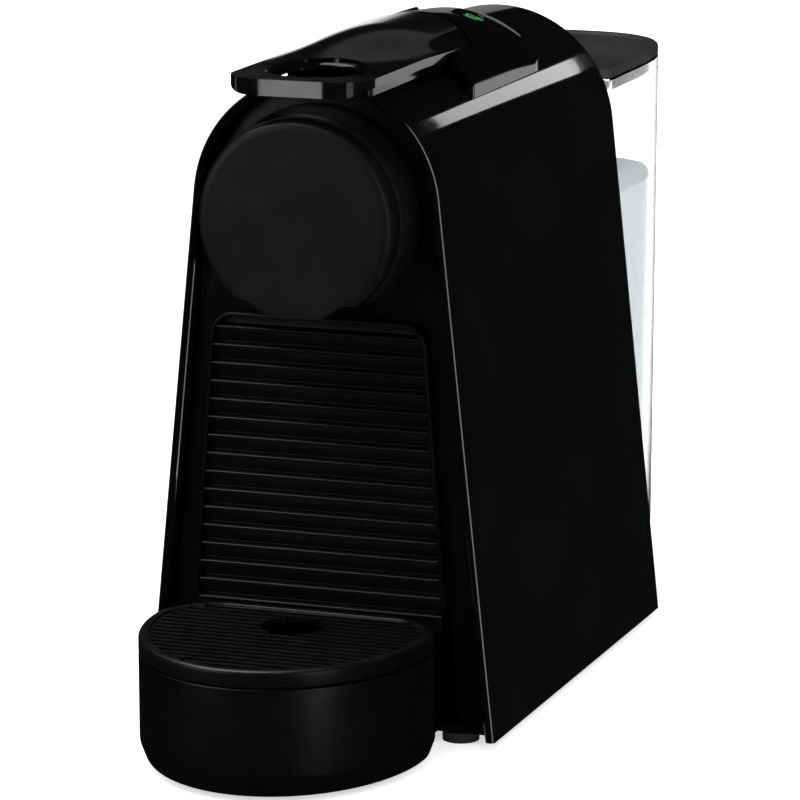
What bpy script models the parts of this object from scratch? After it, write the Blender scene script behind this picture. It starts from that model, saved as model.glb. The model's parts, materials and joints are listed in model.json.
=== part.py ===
"""Pod coffee machine, built as separate sub-parts in metres, +Z up.

The front faces -Y and the origin is the bottom centre of the whole object. Sizes below are in millimetres and
are turned into metres where the meshes are made. Run with: blender --background --python part.py
"""

import math

import bmesh
import bpy
from mathutils import Matrix, Vector

MM = 0.001
GAP = 0.3  # between pieces that touch

# Whole object
REAR_Y = 162.5
FRONT_Y = -162.5

# Outer shell: an arch on two straight sides that lean outwards
SHELL_RADIUS = 38.6
SHELL_CENTRE_Z = 159.1
SHELL_BOTTOM_Z = 3.0
SHELL_FOOT_HALF = 55.0
SHELL_FRONT_Y = -89.8
SHELL_REAR_Y = 75.3
SHELL_WALL = 3.0
SHELL_RISE = SHELL_CENTRE_Z - SHELL_BOTTOM_Z
SHELL_SLANT = math.hypot(SHELL_FOOT_HALF, SHELL_RISE)
SHELL_LEAN = math.acos(SHELL_RADIUS / SHELL_SLANT) - math.atan2(SHELL_RISE, SHELL_FOOT_HALF)

# Raised cover on top of the shell
COVER_HALF = 29.5
COVER_RADIUS = 38.5
COVER_CENTRE_Z = 166.5
COVER_FRONT_Y = -36.5
COVER_CREST_Y = -5.0
COVER_REAR_Y = 28.5
COVER_REAR_DROP = 2.7
COVER_WALL = 1.8

# Lever
LEVER_HALF = 22.0
LEVER_FRONT_Y = -109.0
LEVER_CORNER = 12.0
LEVER_EDGE_Z = 199.0
LEVER_CREST_Z = 205.0
LEVER_SIDE_REAR_Y = -17.0
LEVER_REAR_BULGE = 15.0
LEVER_GATE_GAP = 2.4
LEVER_THICK = 2.6
LEVER_HOLE_RADIUS = 14.0
LEVER_HOLE_Y = -86.0
PIVOT_Y = -25.0
PIVOT_Z = 190.0

# Lever linkage, in the plane across the machine
CRANK_LENGTH = 9.5
HALF_SWING = math.radians(39.0)
ROCKER_DROP = 19.0  # rocker shaft below the lever shaft
ROCKER_REACH = 32.0  # cage pin below the rocker shaft
ROCKER_Z = PIVOT_Z - ROCKER_DROP
CRANK_PIN_Y = PIVOT_Y + CRANK_LENGTH * math.sin(HALF_SWING)
CRANK_PIN_Z = PIVOT_Z - CRANK_LENGTH * math.cos(HALF_SWING)
ROCKER_TILT = math.atan2(CRANK_PIN_Y - PIVOT_Y, CRANK_PIN_Z - ROCKER_Z)
CAGE_PIN_Z = ROCKER_Z - ROCKER_REACH
CAGE_PIN_Y = PIVOT_Y - ROCKER_REACH * math.tan(ROCKER_TILT)
CAGE_STROKE = 2 * ROCKER_REACH * math.tan(ROCKER_TILT)

# Brewing unit
BREW_Z = 148.0
CAGE_RADIUS = 17.3
CAGE_FRONT_Y = -76.0
CAGE_REAR_Y = -35.0
CAGE_CAVITY_RADIUS = 15.5
CAGE_CAVITY_REAR_Y = -48.0
FRAME_INNER = 22.6
FRAME_OUTER = 24.8
FRAME_FRONT_Y = -80.6
FRAME_REAR_Y = 8.4
FRAME_WALL_BACK_Y = -78.8
PIERCE_RADIUS = 17.0
PIERCE_RING = 6.0
PIERCE_FRONT_Y = -78.5
PIERCE_BACK_Y = -76.6

# Head
HEAD_Z = 157.1
DISC_RADIUS = 30.0
DISC_FRONT_Y = -107.1
DRUM_RADIUS = 32.0
HEAD_CUT_Z = 134.0
OUTLET_HALF = 14.5
OUTLET_FRONT_Y = -102.8
OUTLET_HOLE_X = 5.0
OUTLET_HOLE_Y = -98.0
SPOUT_Y = -98.5

# Front frame and used-pod bin
FRONT_FACE_Y = -84.5
FRONT_BACK_Y = -81.0
PANEL_FRONT_Y = -88.8
PANEL_BACK_Y = -84.9
PANEL_LOW_Z = 34.6
PANEL_TOP_Z = 124.8
PANEL_FOOT_HALF = 41.17  # where its leaning sides meet the ground
PANEL_TAPER = 0.0711
RIB_FIRST_Z = 39.5
RIB_PITCH = 5.5
RIB_COUNT = 16
RIB_DEPTH = 2.6
BIN_REAR_Y = -27.0

# Drip tray
TRAY_HALF = 43.4
TRAY_WIDEST_Y = -110.7
TRAY_BACK_DEPTH = 25.0  # of the half ellipse behind the widest place
TRAY_RIM_Z = 34.0
TRAY_FLOOR_Z = 8.8
TONGUE_HALF = 37.0
TONGUE_REAR_Y = -24.0
TONGUE_STEP_Y = -87.7
TONGUE_UNDER_Z = 6.8
TRAY_SKIRT = 7.5
GRID_TOP_Z = 39.4
GRID_REAR_Y = -91.6
GRID_HOLE_Y = -110.0
GRID_HOLE_RADIUS = 9.5
GRID_BORDER = 3.4
SLAT_COUNT = 17

# Base and feet
BASE_Z = 3.3
BASE_TOP_Z = 6.3
BASE_HALF = 51.0
BASE_FRONT_Y = -84.2
DOCK_HALF = 27.0
DOCK_REAR_Y = 147.0
DOCK_WALL = 2.0
FOOT_RADIUS = 5.5
FOOT_PLACES = {
    "foot_front_left": (-41, -79),
    "foot_front_right": (41, -79),
    "foot_rear_left": (-43, 64),
    "foot_rear_right": (43, 64),
    "foot_dock": (0, 140),
}
SCREW_PLACES = [(-45, 45), (45, 45)]
GLAND_X = 43.5
GLAND_Z = 20.0
HOSE_HOLE_X = 20.0
HOSE_HOLE_Z = 9.2

# Buttons
BUTTON_RADIUS = 6.4
BUTTON_X = 12.0
BUTTON_Y = 14.0

# Pump and flow meter
PUMP_Y = 4.0
PUMP_Z = 58.0
METER_Y = -9.0
METER_HEIGHT = 12.0

# Hoses: each one's route and radius
HOSES = {
    "suction_hose": (
        [
            (2, 95.4, 9.2),
            (8, 89, 9.2),
            (18, 83, 9.2),
            (20, 76, 9.2),
            (20, 40, 9.4),
            (21, 0, 11),
            (20, -7, 12),
            (17, -9, 12),
            (13.5, -9, 12),
        ],
        1.8,
    ),
    "pump_hose": (
        [
            (-13.6, -9, 12),
            (-20, -9, 14),
            (-22, -8, 30),
            (-18, -7, 48),
            (-6, -6, 57),
            (0, -3, 58),
            (0, 3.6, 58),
        ],
        2.2,
    ),
    "pressure_hose": (
        [
            (0, 58.4, 58),
            (0, 63, 59),
            (0, 66, 66),
            (0, 66.5, 90),
            (0, 65, 102),
            (0, 62, 106.6),
            (0, 58.5, 107),
        ],
        2.0,
    ),
    "brew_hose": ([(0, 30, 122.4), (0, 30, 135), (0, 27, 144), (0, 21, 148), (0, 14.4, 148)], 2.0),
}

# Water tank
TANK_FRONT_Y = 75.9
TANK_TOP_HALF = 36.5
TANK_FOOT_HALF = 35.0
TANK_STRAIGHT_Y = 112.0
TANK_BOTTOM_Z = 13.0
TANK_TOP_Z = 174.5
TANK_WALL = 2.6
LID_TOP_Z = 177.9
SOCKET_Y = 105.0


# ---------------------------------------------------------------- scene and materials


def clear_scene():
    for obj in list(bpy.data.objects):
        bpy.data.objects.remove(obj, do_unlink=True)


def new_collection(name):
    collection = bpy.data.collections.new(name)
    bpy.context.scene.collection.children.link(collection)
    return collection


def material(name, colour, roughness, metallic=0.0, transmission=0.0):
    made = bpy.data.materials.new(name)
    made.use_nodes = True
    shader = made.node_tree.nodes["Principled BSDF"]
    shader.inputs["Base Color"].default_value = (*colour, 1.0)
    shader.inputs["Roughness"].default_value = roughness
    shader.inputs["Metallic"].default_value = metallic
    shader.inputs["Transmission Weight"].default_value = transmission
    return made


def make_materials():
    return {
        "gloss_black": material("gloss_black", (0.004, 0.004, 0.005), 0.08),
        "satin_black": material("satin_black", (0.008, 0.008, 0.009), 0.35),
        "matte_black": material("matte_black", (0.012, 0.012, 0.014), 0.5),
        "lid_grey": material("lid_grey", (0.03, 0.032, 0.034), 0.4),
        "clear": material("clear", (0.95, 0.97, 0.98), 0.05, transmission=1.0),
        "rubber": material("rubber", (0.02, 0.02, 0.02), 0.85),
        "steel": material("steel", (0.55, 0.55, 0.56), 0.3, metallic=1.0),
        "aluminium": material("aluminium", (0.7, 0.7, 0.71), 0.4, metallic=1.0),
        "white_plastic": material("white_plastic", (0.7, 0.7, 0.68), 0.45),
        "copper": material("copper", (0.75, 0.4, 0.25), 0.35, metallic=1.0),
        "board_green": material("board_green", (0.02, 0.14, 0.06), 0.5),
        "silicone": material("silicone", (0.75, 0.76, 0.78), 0.55),
    }


# ---------------------------------------------------------------- modelling helpers (millimetres in)


class Shop:
    """Where new objects go: the parts' collection, the cutters' collection and the materials."""

    parts = None
    cutters = None
    materials = None


def add_object(name, mesh, slot):
    obj = bpy.data.objects.new(name, mesh)
    if slot is None:
        Shop.cutters.objects.link(obj)
        obj.hide_render = True
        obj.display_type = "WIRE"
    else:
        Shop.parts.objects.link(obj)
        mesh.materials.append(Shop.materials[slot])
    return obj


def mesh_from_bmesh(name, shape):
    bmesh.ops.recalc_face_normals(shape, faces=shape.faces)
    mesh = bpy.data.meshes.new(name)
    shape.to_mesh(mesh)
    shape.free()
    return mesh


def smooth(obj, angle=35.0):
    obj.data.shade_smooth()
    obj.data.set_sharp_from_angle(angle=math.radians(angle))
    return obj


def box(name, low, high, slot, bevel=0.0):
    shape = bmesh.new()
    bmesh.ops.create_cube(shape, size=1.0)
    low = Vector(low) * MM
    high = Vector(high) * MM
    bmesh.ops.scale(shape, vec=high - low, verts=shape.verts)
    bmesh.ops.translate(shape, vec=(low + high) / 2, verts=shape.verts)
    obj = add_object(name, mesh_from_bmesh(name, shape), slot)
    if bevel:
        add_bevel(obj, bevel)
    return obj


def add_bevel(obj, width, segments=1):
    modifier = obj.modifiers.new("edges", "BEVEL")
    modifier.width = width * MM
    modifier.segments = segments
    modifier.limit_method = "ANGLE"
    modifier.angle_limit = math.radians(50)


def axis_matrix(axis):
    return Vector((0, 0, 1)).rotation_difference(Vector(axis)).to_matrix().to_4x4()


def rod(name, start, end, radius, slot, sides=20, end_radius=None):
    """A cylinder or cone from start to end."""
    start = Vector(start)
    end = Vector(end)
    shape = bmesh.new()
    bmesh.ops.create_cone(
        shape,
        cap_ends=True,
        segments=sides,
        radius1=radius * MM,
        radius2=(radius if end_radius is None else end_radius) * MM,
        depth=(end - start).length * MM,
    )
    turn = Matrix.Translation((start + end) / 2 * MM) @ axis_matrix((end - start).normalized())
    bmesh.ops.transform(shape, matrix=turn, verts=shape.verts)
    return smooth(add_object(name, mesh_from_bmesh(name, shape), slot))


def turned(name, profile, centre, axis, slot, steps=32):
    """A turned shape: profile is a list of (radius, height along axis), its outer side from top to bottom."""
    mesh = bpy.data.meshes.new(name)
    points = [(radius * MM, 0.0, height * MM) for radius, height in profile]
    edges = [(i, (i + 1) % len(points)) for i in range(len(points))]
    if profile[0][0] == 0 and profile[-1][0] == 0:
        edges.pop()
    mesh.from_pydata(points, edges, [])
    obj = add_object(name, mesh, slot)
    obj.matrix_world = Matrix.Translation(Vector(centre) * MM) @ axis_matrix(axis)
    modifier = obj.modifiers.new("turn", "SCREW")
    modifier.steps = steps
    modifier.render_steps = steps
    modifier.use_merge_vertices = True
    modifier.merge_threshold = 0.00001
    return obj


def plate(name, outlines, plane, low, high, slot):
    """A flat outline with optional holes, extruded. plane XY, XZ or YZ names the outline's two axes."""
    curve = bpy.data.curves.new(name, "CURVE")
    curve.dimensions = "2D"
    curve.fill_mode = "BOTH"
    curve.extrude = (high - low) / 2 * MM
    for outline in outlines:
        spline = curve.splines.new("POLY")
        spline.points.add(len(outline) - 1)
        spline.use_cyclic_u = True
        for point, (u, v) in zip(spline.points, outline):
            point.co = (u * MM, v * MM, 0.0, 1.0)
    guide = bpy.data.objects.new(name + "_outline", curve)
    Shop.cutters.objects.link(guide)
    middle = (low + high) / 2 * MM
    turn = {
        "XY": Matrix(((1, 0, 0, 0), (0, 1, 0, 0), (0, 0, 1, middle), (0, 0, 0, 1))),
        "XZ": Matrix(((1, 0, 0, 0), (0, 0, -1, middle), (0, 1, 0, 0), (0, 0, 0, 1))),
        "YZ": Matrix(((0, 0, 1, middle), (1, 0, 0, 0), (0, 1, 0, 0), (0, 0, 0, 1))),
    }[plane]
    graph = bpy.context.evaluated_depsgraph_get()
    mesh = bpy.data.meshes.new_from_object(guide.evaluated_get(graph))
    mesh.materials.clear()
    bpy.data.objects.remove(guide, do_unlink=True)
    shape = bmesh.new()
    shape.from_mesh(mesh)
    bpy.data.meshes.remove(mesh)
    bmesh.ops.remove_doubles(shape, verts=shape.verts, dist=0.00001)
    bmesh.ops.transform(shape, matrix=turn, verts=shape.verts)
    return add_object(name, mesh_from_bmesh(name, shape), slot)


def loft(name, rings, slot):
    """A closed solid through rings of equally many points, capped at both ends."""
    shape = bmesh.new()
    rows = [[shape.verts.new(Vector(point) * MM) for point in ring] for ring in rings]
    count = len(rows[0])
    for lower, upper in zip(rows, rows[1:]):
        for i in range(count):
            j = (i + 1) % count
            shape.faces.new((lower[i], lower[j], upper[j], upper[i]))
    shape.faces.new(list(reversed(rows[0])))
    shape.faces.new(rows[-1])
    return add_object(name, mesh_from_bmesh(name, shape), slot)


def cup(name, outline, profile, slot):
    """A solid whose plan is outline(inset, z), lofted through a profile of (inset, z)."""
    rings = [[(x, y, z) for x, y in outline(inset, z)] for inset, z in profile]
    return smooth(loft(name, rings, slot))


def tube(name, route, radius, slot, resolution=2):
    """A solid hose along a route of points."""
    curve = bpy.data.curves.new(name, "CURVE")
    curve.dimensions = "3D"
    curve.bevel_depth = radius * MM
    curve.bevel_resolution = resolution
    curve.use_fill_caps = True
    spline = curve.splines.new("POLY")
    spline.points.add(len(route) - 1)
    for point, place in zip(spline.points, route):
        point.co = (*(Vector(place) * MM), 1.0)
    obj = bpy.data.objects.new(name, curve)
    Shop.parts.objects.link(obj)
    curve.materials.append(Shop.materials[slot])
    return obj


def boolean(obj, other, operation="DIFFERENCE"):
    modifier = obj.modifiers.new(operation.lower(), "BOOLEAN")
    modifier.object = other
    modifier.operation = operation
    modifier.solver = "EXACT"
    return obj


def cut(obj, *cutters):
    for cutter in cutters:
        boolean(obj, cutter)
    return obj


def join(obj, *others):
    for other in others:
        boolean(obj, other, "UNION")
    return obj


def arc(centre, radius, start, end, count):
    """Points on a circle, angles in degrees."""
    points = []
    for i in range(count):
        angle = math.radians(start + (end - start) * i / (count - 1))
        points.append((centre[0] + radius * math.cos(angle), centre[1] + radius * math.sin(angle)))
    return points


def circle(centre, radius, count=20):
    return arc(centre, radius, 0, 360, count + 1)[:-1]


def slot_hole(start, end, radius, count=7):
    """A rounded slot from start to end in a plane."""
    heading = math.degrees(math.atan2(end[1] - start[1], end[0] - start[0]))
    return arc(end, radius, heading - 90, heading + 90, count) + arc(
        start, radius, heading + 90, heading + 270, count
    )


def smoothstep(low, high, value):
    t = min(1.0, max(0.0, (value - low) / (high - low)))
    return t * t * (3 - 2 * t)


# ---------------------------------------------------------------- outlines


def arch_outline(inset, low_z, count=17):
    """The shell's section in XZ, from the right foot over the arch to the left foot."""
    radius = SHELL_RADIUS - inset
    lean = math.degrees(SHELL_LEAN)
    over = arc((0, SHELL_CENTRE_Z), radius, lean, 180 - lean, count)
    foot = radius / math.cos(SHELL_LEAN) + (SHELL_CENTRE_Z - low_z) * math.tan(SHELL_LEAN)
    return [(foot, low_z)] + over + [(-foot, low_z)]


def panel_half(z, inset=0.0):
    """Half-width of the louvred bin front at a height."""
    return PANEL_FOOT_HALF - z * PANEL_TAPER - inset


def tray_front_curve(inset, count=15):
    """The tray's round front, from its right side to its left side."""
    half = TRAY_HALF - inset
    depth = TRAY_WIDEST_Y - FRONT_Y - inset
    points = []
    for i in range(count):
        angle = math.pi * i / (count - 1)
        points.append((half * math.cos(angle), TRAY_WIDEST_Y - depth * math.sin(angle)))
    return points


def tray_round(inset, turn, count=5):
    """The tray's plan: its front curve, and behind the widest place a shallower one that ends at turn."""
    half = TRAY_HALF - inset
    depth = TRAY_BACK_DEPTH - inset
    back = []
    for i in range(count):
        angle = turn * (count - i) / count
        back.append((half * math.cos(angle), TRAY_WIDEST_Y + depth * math.sin(angle)))
    return back + tray_front_curve(inset) + [(-x, y) for x, y in reversed(back)]


def tray_outline(inset, z):
    tongue = TONGUE_HALF - inset
    rear = TONGUE_REAR_Y - inset
    turn = math.acos(tongue / (TRAY_HALF - inset))
    return [(tongue, rear)] + tray_round(inset, turn) + [(-tongue, rear)]


def grid_outline(inset, z):
    return tray_round(inset, math.asin((GRID_REAR_Y - inset - TRAY_WIDEST_Y) / (TRAY_BACK_DEPTH - inset)))


def tank_outline(inset, z):
    """The tank's D-shaped plan: flat front, straight sides and a full round back."""
    rise = (z - TANK_BOTTOM_Z) / (LID_TOP_Z - TANK_BOTTOM_Z)
    half = TANK_FOOT_HALF + (TANK_TOP_HALF - TANK_FOOT_HALF) * rise - inset
    depth = REAR_Y - TANK_STRAIGHT_Y - inset
    front = TANK_FRONT_Y + inset
    corner = 5.0
    points = [(half - corner, front), (half - corner * 0.3, front + corner * 0.3), (half, front + corner)]
    for i in range(19):
        angle = math.pi * i / 18
        x = math.copysign(abs(math.cos(angle)) ** 0.75, math.cos(angle))
        points.append((half * x, TANK_STRAIGHT_Y + depth * math.sin(angle) ** 0.75))
    points += [(-x, y) for x, y in reversed(points[:3])]
    return points


def bin_outline(inset, z):
    half = panel_half(z, 1.2) - inset
    front = PANEL_BACK_Y + GAP + inset
    rear = BIN_REAR_Y - inset
    return [(half, front), (half, rear), (-half, rear), (-half, front)]


# ---------------------------------------------------------------- casing


def cover_section(y, inset, low_z):
    """The raised cover's section at y: straight sides under a shallow arch, down to the shell or to low_z."""
    centre_z = COVER_CENTRE_Z - COVER_REAR_DROP * smoothstep(COVER_CREST_Y, COVER_REAR_Y + 10, y)
    half = COVER_HALF - inset
    radius = COVER_RADIUS - inset
    edge = math.degrees(math.acos(half / radius))
    top = arc((0, centre_z), radius, edge, 180 - edge, 13)
    if low_z is None:
        seat = SHELL_RADIUS + GAP
        foot = math.degrees(math.acos(half / seat))
        bottom = arc((0, SHELL_CENTRE_Z), seat, 180 - foot, foot, 13)
    else:
        bottom = [(-half + 2 * half * i / 12, low_z) for i in range(13)]
    return [(x, y, z) for x, z in top + bottom]


def make_outer_shell():
    outline = arch_outline(0.0, SHELL_BOTTOM_Z)
    mesh = bpy.data.meshes.new("outer_shell")
    points = [(x * MM, SHELL_FRONT_Y * MM, z * MM) for x, z in outline]
    mesh.from_pydata(points, [(i, i + 1) for i in range(len(points) - 1)], [])
    shape = bmesh.new()
    shape.from_mesh(mesh)
    grown = bmesh.ops.extrude_edge_only(shape, edges=shape.edges[:])
    moved = [item for item in grown["geom"] if isinstance(item, bmesh.types.BMVert)]
    bmesh.ops.translate(shape, vec=(0, (SHELL_REAR_Y - SHELL_FRONT_Y) * MM, 0), verts=moved)
    for face in shape.faces:
        face.normal_update()
        if face.normal.dot(face.calc_center_median() - Vector((0, 0, 0.12))) < 0:
            face.normal_flip()
    shape.to_mesh(mesh)
    shape.free()
    obj = add_object("outer_shell", mesh, "gloss_black")
    wall = obj.modifiers.new("wall", "SOLIDIFY")
    wall.thickness = SHELL_WALL * MM
    wall.offset = -1.0
    wall.use_even_offset = True
    pod_slot = box("pod_slot_cutter", (-19.2, -76.4, 170), (19.2, -44, 210), None)
    spine_slot = box("spine_cutter", (-26, -34, 176), (26, 25, 215), None)
    crown = box("crown_cutter", (-15, -95, 195.8), (15, -33, 205), None)
    cut(obj, pod_slot, spine_slot, crown)
    return smooth(obj)


def make_spine_cover():
    stations = (COVER_FRONT_Y, -20, COVER_CREST_Y, 8, 18, COVER_REAR_Y)
    obj = loft("spine_cover", [cover_section(y, 0.0, None) for y in stations], "gloss_black")
    hollow = (COVER_FRONT_Y - 5, -20, COVER_CREST_Y, 8, 18, COVER_REAR_Y - COVER_WALL)
    inside = loft("cover_hollow", [cover_section(y, COVER_WALL, 170) for y in hollow], None)
    gate = []
    for x in (-22.6, -18, -12, -6, 0, 6, 12, 18, 22.6):
        gate.append((x, lever_rear_y(x / LEVER_HALF) + LEVER_GATE_GAP))
    opening = plate("lever_gate", [[(22.6, -50), *reversed(gate), (-22.6, -50)]], "XY", 180, 215, None)
    cut(obj, inside, opening)
    for side in (-1, 1):
        axis = button_axis(side)
        face = button_face(side)
        hole = rod(f"button_hole_{side}", face - axis * 6, face + axis * 6, BUTTON_RADIUS + 0.4, None, 24)
        cut(obj, hole)
    return smooth(obj)


def make_front_frame():
    """The arch-shaped front plate, open below for the bin and the tray and drilled for the coffee outlet."""
    low = BASE_TOP_Z + GAP
    ring = arch_outline(SHELL_WALL + GAP, low)
    obj = plate("front_frame", [ring, circle((0, 138), 8)], "XZ", FRONT_FACE_Y, FRONT_BACK_Y, "satin_black")
    top = PANEL_TOP_Z + 1.2
    corner = 7.0
    half_top = panel_half(top) + 0.8
    outline = [(panel_half(0) + 0.8, -5)]
    outline += arc((half_top - corner, top - corner), corner, 4, 90, 6)
    outline += arc((-half_top + corner, top - corner), corner, 90, 176, 6)
    outline += [(-panel_half(0) - 0.8, -5)]
    gate = plate("bin_gate", [outline], "XZ", FRONT_FACE_Y - 3, FRONT_BACK_Y + 3, None)
    return cut(obj, gate)


def make_rear_panel():
    outline = arch_outline(SHELL_WALL + GAP, BASE_TOP_Z + GAP)
    holes = [circle((GLAND_X, GLAND_Z), 5.2), circle((HOSE_HOLE_X, HOSE_HOLE_Z), 2.2, 12)]
    return plate("rear_panel", [outline, *holes], "XZ", SHELL_REAR_Y - 4, SHELL_REAR_Y - 1, "satin_black")


def make_base():
    """The floor of the casing, with a tongue behind it that carries the tank's dock."""
    rear = SHELL_REAR_Y - 0.5
    right = [(BASE_HALF, BASE_FRONT_Y), (BASE_HALF, rear), (DOCK_HALF, rear), (DOCK_HALF, DOCK_REAR_Y)]
    outline = right + [(-x, y) for x, y in reversed(right)]
    holes = [circle(place, 1.8, 12) for place in SCREW_PLACES]
    return plate("base_plate", [outline, *holes], "XY", BASE_Z, BASE_TOP_Z, "satin_black")


def make_tank_dock():
    low = BASE_TOP_Z + GAP
    top = TANK_BOTTOM_Z - GAP
    half = DOCK_HALF - 1
    rear = DOCK_REAR_Y - 1
    room = half - DOCK_WALL
    obj = box("tank_dock", (-half, TANK_FRONT_Y, low), (half, rear, top), "satin_black")
    hollow = box("dock_hollow", (-room, TANK_FRONT_Y - 3, low - 3), (room, rear - DOCK_WALL, top - 1.4), None)
    hole = rod("dock_hole", (0, SOCKET_Y, low - 2), (0, SOCKET_Y, top + 3), 6.3, None, 24)
    return cut(obj, hollow, hole)


def make_feet():
    for name, (x, y) in FOOT_PLACES.items():
        rod(name, (x, y, 0), (x, y, BASE_Z - GAP), FOOT_RADIUS, "rubber", 20)


def make_screws():
    for i, (x, y) in enumerate(SCREW_PLACES):
        profile = [(0, 10), (1.4, 10), (1.4, 0), (3.2, 0), (3.2, -1.8), (0, -1.8)]
        turned(f"base_screw_{i + 1}", profile, (x, y, BASE_Z - GAP), (0, 0, 1), "steel", 12)


def make_gland():
    profile = [(6.2, 3), (6.2, 0), (4.8, 0), (4.8, -8), (3.2, -8), (3.2, 3)]
    centre = (GLAND_X, SHELL_REAR_Y - 1 + GAP, GLAND_Z)
    turned("cord_gland", profile, centre, (0, 1, 0), "rubber", 20)


# ---------------------------------------------------------------- brewing head


def make_head():
    """The drum in front of the frame and the round cap over it, both cut flat underneath."""
    drum = [
        (DISC_RADIUS + 0.2, 15.2),
        (DISC_RADIUS + 0.6, 14.6),
        (DRUM_RADIUS, 4.9),
        (DRUM_RADIUS, 0.3),
        (DRUM_RADIUS - 2.4, 0.3),
        (DISC_RADIUS - 2.2, 15.2),
    ]
    cap = [
        (0, 22.6),
        (DISC_RADIUS - 3, 22.6),
        (DISC_RADIUS - 0.9, 21.7),
        (DISC_RADIUS, 19.6),
        (DISC_RADIUS, 15.8),
        (DISC_RADIUS - 2.4, 15.8),
        (DISC_RADIUS - 2.4, 19.6),
        (0, 19.6),
    ]
    centre = (0, FRONT_FACE_Y, HEAD_Z)
    drum_obj = turned("head_drum", drum, centre, (0, -1, 0), "matte_black", 48)
    cap_obj = turned("head_cap", cap, centre, (0, -1, 0), "matte_black", 48)
    for obj in (drum_obj, cap_obj):
        floor = box(f"{obj.name}_floor_cutter", (-40, -120, 100), (40, -70, HEAD_CUT_Z), None)
        cut(obj, floor)


def make_outlet():
    """The coffee outlet: a plate that closes the drum's flat underside, and a spout with two openings."""
    floor_z = HEAD_CUT_Z + 0.2
    low = (-OUTLET_HALF, OUTLET_FRONT_Y, floor_z)
    high = (OUTLET_HALF, FRONT_FACE_Y - GAP, floor_z + 2.2)
    obj = box("coffee_outlet", low, high, "matte_black")
    neck_outline = slot_hole((-6, SPOUT_Y + 1.5), (6, SPOUT_Y + 1.5), 5.5, 9)
    neck = plate("spout_neck", [neck_outline], "XY", floor_z - 1.2, floor_z + 1.3, None)
    spout_outline = slot_hole((-6, SPOUT_Y), (6, SPOUT_Y), 8.0, 9)
    spout = plate("spout_body", [spout_outline], "XY", floor_z - 4.2, floor_z - 0.4, None)
    join(obj, neck, spout)
    for x in (-OUTLET_HOLE_X, OUTLET_HOLE_X):
        hole = rod(f"outlet_hole_{x}", (x, OUTLET_HOLE_Y, 120), (x, OUTLET_HOLE_Y, 145), 2.1, None, 16)
        cut(obj, hole)
    return obj


# ---------------------------------------------------------------- lever and linkage


def lever_rear_y(u):
    """The lever's rear edge at u, which runs from -1 at its left side to 1 at its right side."""
    return LEVER_SIDE_REAR_Y + LEVER_REAR_BULGE * (1 - u * u)


def lever_front_y(u):
    x = abs(u) * LEVER_HALF
    start = LEVER_HALF - LEVER_CORNER
    if x <= start:
        return LEVER_FRONT_Y
    across = min(1.0, (x - start) / LEVER_CORNER)
    return LEVER_FRONT_Y + LEVER_CORNER * (1 - math.sqrt(1 - across * across))


def lever_top_z(x, y):
    """The plate is flat at the front and rises to the cover's arch towards the rear."""
    sunk = math.sqrt(COVER_RADIUS**2 - LEVER_HALF**2)
    share = (math.sqrt(COVER_RADIUS**2 - x * x) - sunk) / (COVER_RADIUS - sunk)
    return LEVER_EDGE_Z + (LEVER_CREST_Z - LEVER_EDGE_Z) * share * smoothstep(-88, -28, y)


def make_lever_plate():
    columns = [-1, -0.92, -0.78, -0.6, -0.3, 0, 0.3, 0.6, 0.78, 0.92, 1]
    rows = [0, 0.03, 0.12, 0.24, 0.36, 0.48, 0.6, 0.72, 0.84, 1]
    shape = bmesh.new()
    grid = []
    for t in rows:
        line = []
        for u in columns:
            y = lever_front_y(u) + (lever_rear_y(u) - lever_front_y(u)) * t
            x = u * LEVER_HALF
            line.append(shape.verts.new((x * MM, y * MM, lever_top_z(x, y) * MM)))
        grid.append(line)
    for near, far in zip(grid, grid[1:]):
        for i in range(len(columns) - 1):
            shape.faces.new((near[i], near[i + 1], far[i + 1], far[i]))
    mesh = bpy.data.meshes.new("lever_plate")
    shape.to_mesh(mesh)
    shape.free()
    obj = add_object("lever_plate", mesh, "gloss_black")
    wall = obj.modifiers.new("wall", "SOLIDIFY")
    wall.thickness = LEVER_THICK * MM
    wall.offset = -1.0
    hole = rod("finger_hole", (0, LEVER_HOLE_Y, 185), (0, LEVER_HOLE_Y, 215), LEVER_HOLE_RADIUS, None, 32)
    cut(obj, hole)
    return smooth(obj)


def make_lever_arms():
    for name, x in (("lever_arm_left", -17.5), ("lever_arm_right", 14.5)):
        outline = [(-33, 196.0), (-33, 191), (-30, 186)]
        outline += arc((CRANK_PIN_Y, CRANK_PIN_Z), 3.6, 215, 350, 7)
        outline += [(-18.5, 190), (-17.5, 196.0)]
        holes = [circle((PIVOT_Y, PIVOT_Z), 1.6, 16), circle((CRANK_PIN_Y, CRANK_PIN_Z), 2.1, 16)]
        plate(name, [outline, *holes], "YZ", x, x + 3.0, "matte_black")


def make_pins():
    reach = FRAME_OUTER - 0.2
    pins = {
        "lever_shaft": (PIVOT_Y, PIVOT_Z, 1.5, reach),
        "rocker_shaft": (PIVOT_Y, ROCKER_Z, 2.0, reach),
        "crank_pin": (CRANK_PIN_Y, CRANK_PIN_Z, 1.8, 21.4),
        "cage_pin": (CAGE_PIN_Y, CAGE_PIN_Z, 2.0, reach),
    }
    for name, (y, z, radius, half) in pins.items():
        rod(name, (-half, y, z), (half, y, z), radius, "steel", 16)


def rocker_point(along, across=0.0):
    """A point of the rocker at rest, from its shaft: along is up its length, across is towards the rear."""
    y = PIVOT_Y + along * math.sin(ROCKER_TILT) + across * math.cos(ROCKER_TILT)
    z = ROCKER_Z + along * math.cos(ROCKER_TILT) - across * math.sin(ROCKER_TILT)
    return (y, z)


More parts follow.
